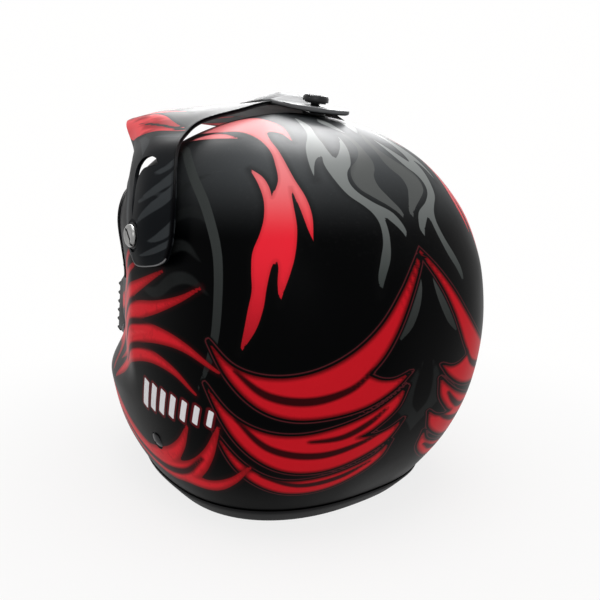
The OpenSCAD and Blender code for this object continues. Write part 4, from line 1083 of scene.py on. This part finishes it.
def refine(node, name, body, slot, material, width, angle):
    # the CAD node's shape with its flat faces joined and its edges softened
    piece = mergedCopy(node, name)
    bm = bmesh.new()
    bm.from_mesh(piece.data)
    bmesh.ops.dissolve_limit(bm, angle_limit=math.radians(1.0), verts=bm.verts[:], edges=bm.edges[:])
    bm.to_mesh(piece.data)
    bm.free()
    if width:
        softenEdges(piece, width, angle)
    shadeSmooth(piece.data, 35)
    finishPiece(piece, body, slot, material, node)
    return piece


screwHead = {"top": 0.133735, "slotDepth": 1.9 * mm, "slotFloor": 1.3 * mm, "slotReach": 5.9 * mm,
             "faces": 0.9, "walls": 0.35}


def darkenSlot(piece):
    # the coin slot in a side screw's head is painted dark as shade
    mesh = piece.data
    mesh.materials.append(materials["slotShade"])
    for face in mesh.polygons:
        x, y, z = face.center
        depth, facing = screwHead["top"] - abs(x), abs(face.normal.x)
        aside = math.hypot(y - screws["y"], z - screws["z"])
        floor = facing > screwHead["faces"] and depth > screwHead["slotFloor"]
        inSlot = depth < screwHead["slotDepth"] and aside < screwHead["slotReach"]
        if inSlot and (floor or facing < screwHead["walls"]):
            face.material_index = 1


grilleForm = {"halfWidth": 58, "reach": 184, "bow": 5, "top": 142, "turn": 87, "lean": (0.19, 0.9),
              "louvres": 6, "low": 83.5, "pitch": 8.5, "toothLift": 0.3, "tooth": ((51, 2.9), (57.2, 4.2)),
              "toothBack": 1.5, "toothHeight": (0.2, 1.5), "toothRoot": (-2.2, 3.8)}


def addTeeth(piece):
    # each louvre's end runs on past the front of the frame as a short tooth
    form = grilleForm
    for k in range(form["louvres"]):
        z = form["low"] + form["pitch"] * (k + form["toothLift"])
        lean = form["lean"][0] * (form["top"] - max(z, form["turn"])) - form["lean"][1] * max(form["turn"] - z, 0)
        for side in (-1, 1):
            spots = []
            for x, ahead in form["tooth"]:
                face = -form["reach"] - lean - form["bow"] * (1 - (x / form["halfWidth"]) ** 2)
                spots += [(side * x * mm, (face - ahead) * mm, (z + h) * mm) for h in form["toothHeight"]]
                spots += [(side * x * mm, (face + form["toothBack"]) * mm, (z + h) * mm) for h in form["toothRoot"]]
            combine(piece, hullOf("tooth", spots), "UNION")


finishes = {"plastic": ("black_plastic", "blackPlastic"), "black": ("black_metal", "blackMetal"),
            "steel": ("screw_metal", "screwSteel"), "brass": ("insert_brass", "insertBrass"),
            "grille": ("black_plastic", "grillePlastic"), "foam": ("foam", "beadFoam"),
            "band": ("webbing", "wovenBand")}
# nodes with their body, finish and edge rounding in millimetres
hardware = [
    ("helmet", "grille", 0.35, "mouth_grille"),
    ("helmet", "black", 0.25, "grille_rivets"),
    ("helmet", "steel", 0.25, "visor_screw_left visor_screw_right"),
    ("helmet", "black", 0.3, "visor_top_screw"),
    ("helmet", "plastic", 0.15, "pivot_washers pivot_bushes top_washer top_spacer"),
    ("helmet", "brass", 0.2, "side_inserts top_insert"),
    ("helmet", "black", 0.2, "strap_rivets"),
    ("helmet", "steel", 0.15, "rivet_washers"),
    ("helmet", "plastic", 0.2, "pad_snaps"),
    ("left_strap", "steel", 0.25, "strap_anchor_left"),
    ("right_strap", "steel", 0.25, "strap_anchor_right"),
    ("left_strap", "plastic", 0.4, "strap_snap"),
    ("inner_ring", "steel", 0.0, "d_ring_inner"),
    ("outer_ring", "steel", 0.0, "d_ring_outer"),
    ("helmet", "foam", 1.2, "impact_liner"),
    ("helmet", "foam", 1.0, "chin_bar_foam"),
    ("helmet", "foam", 0.0, "vent_filter"),
]
straps = [("left_strap", "band", 0.35, "chin_strap_left"), ("right_strap", "band", 0.35, "chin_strap_right")]


def dress(rows):
    # finishes the nodes of a table, each as a piece named after it
    for body, finish, width, nodes in rows:
        angle = 50 if finish in ("foam", "band") else 40
        for node in nodes.split():
            first, *others = node.split("_")
            name = first + "".join(word.capitalize() for word in others)
            piece = refine(node, name, body, *finishes[finish], width * mm, angle)
            if finish == "foam":
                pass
            elif node == "mouth_grille":
                addTeeth(piece)
            elif node.startswith("visor_screw"):
                darkenSlot(piece)


dress(hardware)
print("hardware and foam")


padCover = {"pressure": 4.0, "quality": 5, "frames": 20, "slack": 0.1 * mm, "fill": 0.8,
            "markWidth": 0.35, "markDepth": 0.8}


def inflate(piece, cap):
    # blows the cover up with cloth, then limits how far each point has moved
    before = points(piece.data)
    cloth = piece.modifiers.new("cover", "CLOTH")
    cloth.settings.use_pressure = True
    cloth.settings.uniform_pressure_force = padCover["pressure"]
    cloth.settings.effector_weights.gravity = 0
    cloth.settings.quality = padCover["quality"]
    scene = bpy.context.scene
    for step in range(1, padCover["frames"] + 1):
        scene.frame_set(step)
    settle(piece)
    scene.frame_set(1)
    move = points(piece.data) - before
    far = np.linalg.norm(move, axis=1, keepdims=True)
    placePoints(piece.data, before + move * np.minimum(1, cap / np.maximum(far, 1e-9)))


def holdInside(piece, node, slack):
    # brings points that swelled past the pad's own space back to its surface
    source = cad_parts[node].data
    tree = BVHTree.FromPolygons([v.co for v in source.vertices], [p.vertices for p in source.polygons])
    where = points(piece.data)
    for i, spot in enumerate(where):
        place, normal, _, distance = tree.find_nearest(Vector(spot))
        if (Vector(spot) - place).dot(normal) > slack:
            where[i] = place + (Vector(spot) - place) * (slack / distance)
    placePoints(piece.data, where)


def sew(piece, seams):
    # draws the cover in along each seam
    mesh = piece.data
    where = points(mesh)
    normals = np.empty(len(where) * 3)
    mesh.vertices.foreach_get("normal", normals)
    normals = normals.reshape(-1, 3)
    pull, mark = np.zeros(len(where)), np.zeros(len(where))
    for place, direction, depth, width in seams:
        away = (where - np.array(place)) @ (np.array(direction) / np.linalg.norm(direction))
        pull = np.maximum(pull, depth * mm * np.exp(-(away / (width * mm)) ** 2))
        mark = np.maximum(mark, np.exp(-(away / (padCover["markWidth"] * width * mm)) ** 2))
    placePoints(mesh, where - normals * pull[:, None])
    addField(mesh, "seam", mark * padCover["markDepth"])


def softPad(node, name, material, seams, voxel=4.5, shrink=1.0, cap=3.0):
    # seams are given as a plane's point and direction, with the draw-in's depth and width in millimetres
    pad = mergedCopy(node, name)
    modify(pad, "DISPLACE", strength=-shrink * mm, mid_level=0)
    remesh(pad, voxel * mm)
    inflate(pad, cap * mm)
    modify(pad, "SUBSURF", levels=1, render_levels=1)
    holdInside(pad, node, padCover["slack"])
    sew(pad, seams)
    pad.data.shade_smooth()
    finishPiece(pad, "helmet", "pad_fabric", material, node)
    print(name, len(pad.data.vertices))


softPad("crown_pad", "crownPad", "redCloth",
        [((x, 0, 0), (1, 0, 0), 1.3, 2.2) for x in (-0.030, 0.030)]
        + [((0, y, 0), (0, 1, 0.25), 1.3, 2.2) for y in (-0.045, 0.045)])
for side, node, name in ((1, "cheek_pad_left", "cheekPadLeft"), (-1, "cheek_pad_right", "cheekPadRight")):
    softPad(node, name, "redCloth",
            [((0, 0, 0.075), (0, 0.3, 1), 1.6, 2.4), ((0, -0.052, 0), (0, 1, 0.25), 1.6, 2.4),
             ((side * 0.098, 0, 0), (side, 0.2, 0), 1.0, 1.8)], shrink=1.5, cap=4.0)
softPad("neck_roll", "neckRoll", "darkCloth",
        [((0, 0, 0.028), (0, 0, 1), 1.0, 1.8)]
        + [((0, 0, 0), (math.cos(t), math.sin(t), 0), 0.9, 1.8) for t in (-0.7, -0.35, 0, 0.35, 0.7)],
        voxel=3.5, cap=2.0)
print("pads")
dress(straps)
print("straps")


def makeStitches(name, body, side, rows):
    # threads as short beads along straight rows, given in the rivet's frame in millimetres
    size = {"length": 2.2, "gap": 1.1, "radius": 0.28, "flatten": 1.4, "level": -19.85}
    bead = (size["length"] / 2 * mm, size["radius"] * size["flatten"] * mm, size["radius"] * mm, 1)
    bm = bmesh.new()
    for x0, y0, x1, y1 in rows:
        start, end = Vector((x0, y0, size["level"])), Vector((x1, y1, size["level"]))
        count = max(1, int((end - start).length / (size["length"] + size["gap"])))
        turned = Matrix.Rotation(math.atan2(y1 - y0, x1 - x0), 4, "Z") @ Matrix.Diagonal(bead)
        for i in range(count):
            place = Matrix.Translation(start.lerp(end, (i + 0.5) / count) * mm)
            bmesh.ops.create_uvsphere(bm, u_segments=8, v_segments=6, radius=1,
                                      matrix=rivetMatrix(side) @ place @ turned)
    bmesh.ops.recalc_face_normals(bm, faces=bm.faces[:])
    threads = pieceFrom(bm, name)
    threads.data.shade_smooth()
    finishPiece(threads, body, "webbing", "blackThread")


makeStitches("stitchesLeft", "left_strap", 1,
             [(-26, -10.5, -26, 10.5), (-8, -10.5, -8, 10.5), (-26, -10.5, -8, -10.5), (-26, 10.5, -8, 10.5)])
makeStitches("stitchesRight", "right_strap", -1,
             [(24, -10.5, 24, 10.5), (36, -10.5, 36, 10.5), (24, -10.5, 36, 10.5), (24, 10.5, 36, -10.5)])
print("stitches")


studio = {"floor": 8.0, "nearClear": 0.10, "farClear": 0.50, "nearShare": 0.80, "paper": (0.88, 0.88, 0.875, 1),
          "bright": (1, 0.997, 0.995, 1), "worldLight": 0.5}


def directRays(w):
    # 1 for what the camera, a gloss or a clear part sees, 0 for light on the object
    rays = w.node("ShaderNodeLightPath").outputs
    seen = w.math("MAXIMUM", rays["Is Camera Ray"], rays["Is Glossy Ray"])
    return w.math("MAXIMUM", seen, rays["Is Transmission Ray"])


def makeStage():
    bm = bmesh.new()
    bmesh.ops.create_grid(bm, x_segments=1, y_segments=1, size=studio["floor"])
    floor = pieceFrom(bm, "studioFloor")
    made = bpy.data.materials.new("studioFloor")
    w = emptyTree(made)
    away = w.node("ShaderNodeVectorMath", {0: w.place()}, operation="LENGTH").outputs["Value"]
    clear = w.span(away, studio["nearClear"], studio["farClear"], studio["nearShare"])
    paper = w.node("ShaderNodeBsdfDiffuse", {"Color": studio["paper"]})
    bright = w.node("ShaderNodeEmission", {"Color": studio["bright"], "Strength": 1.0})
    mixed = w.node("ShaderNodeMixShader", {0: w.times(clear, directRays(w)), 1: paper.outputs[0],
                                           2: bright.outputs[0]})
    w.node("ShaderNodeOutputMaterial", {"Surface": mixed.outputs[0]})
    floor.data.materials.append(made)
    world = bpy.data.worlds.new("studio")
    bpy.context.scene.world = world
    w = emptyTree(world)
    strength = w.math("MULTIPLY_ADD", directRays(w), 1.0 - studio["worldLight"], studio["worldLight"])
    back = w.node("ShaderNodeBackground", {"Color": studio["bright"], "Strength": strength})
    w.node("ShaderNodeOutputWorld", {"Surface": back.outputs[0]})


# lamps: place, aim, size, power, and whether it only shows in gloss
lamps = {"overhead": ((0.15, 0.25, 1.5), (0, 0, 0.15), 1.1, 9.0, False),
         "behind": ((-0.80, -1.02, 1.15), (0, 0.02, 0.22), 1.3, 40.0, True),
         "canopy": ((-0.51, -0.36, 1.34), (0.03, 0.06, 0.235), 0.8, 60.0, True),
         "fill": ((1.1, 1.3, 0.8), (0, 0, 0.14), 1.0, 5.0, False)}


def makeLamps():
    for name, (place, aim, size, power, sheenOnly) in lamps.items():
        light = bpy.data.lights.new(name, "AREA")
        light.shape = "DISK"
        light.size = size
        light.energy = power
        lamp = addObject(name, light)
        lamp.location = place
        lamp.rotation_euler = (Vector(aim) - Vector(place)).to_track_quat("-Z", "Y").to_euler()
        lamp.visible_camera = False
        lamp.visible_diffuse = not sheenOnly


def makeCamera():
    view = {"azimuth": 142.4, "elevation": 9.2, "roll": 0.3, "distance": 0.490,
            "target": (-0.0041, 0.0081, 0.1337), "lens": 39.0, "sensor": 36.0, "near": 0.02}
    azimuth, elevation, roll = (math.radians(view[k]) for k in ("azimuth", "elevation", "roll"))
    level = math.cos(elevation)
    back = Vector((math.sin(azimuth) * level, -math.cos(azimuth) * level, math.sin(elevation)))
    right = (-back).cross(Vector((0, 0, 1))).normalized()
    up = back.cross(right)
    turned = right * math.cos(roll) + up * math.sin(roll)
    lifted = up * math.cos(roll) - right * math.sin(roll)
    lens = bpy.data.cameras.new("camera")
    lens.sensor_width = view["sensor"]
    lens.lens = view["lens"]
    lens.clip_start = view["near"]
    camera = addObject("camera", lens)
    camera.matrix_world = (Matrix.Translation(Vector(view["target"]) + back * view["distance"])
                           @ Matrix((turned, lifted, back)).transposed().to_4x4())
    bpy.context.scene.camera = camera


makeStage()
makeLamps()
makeCamera()
bpy.context.scene.view_settings.view_transform = "Standard"
print("stage")
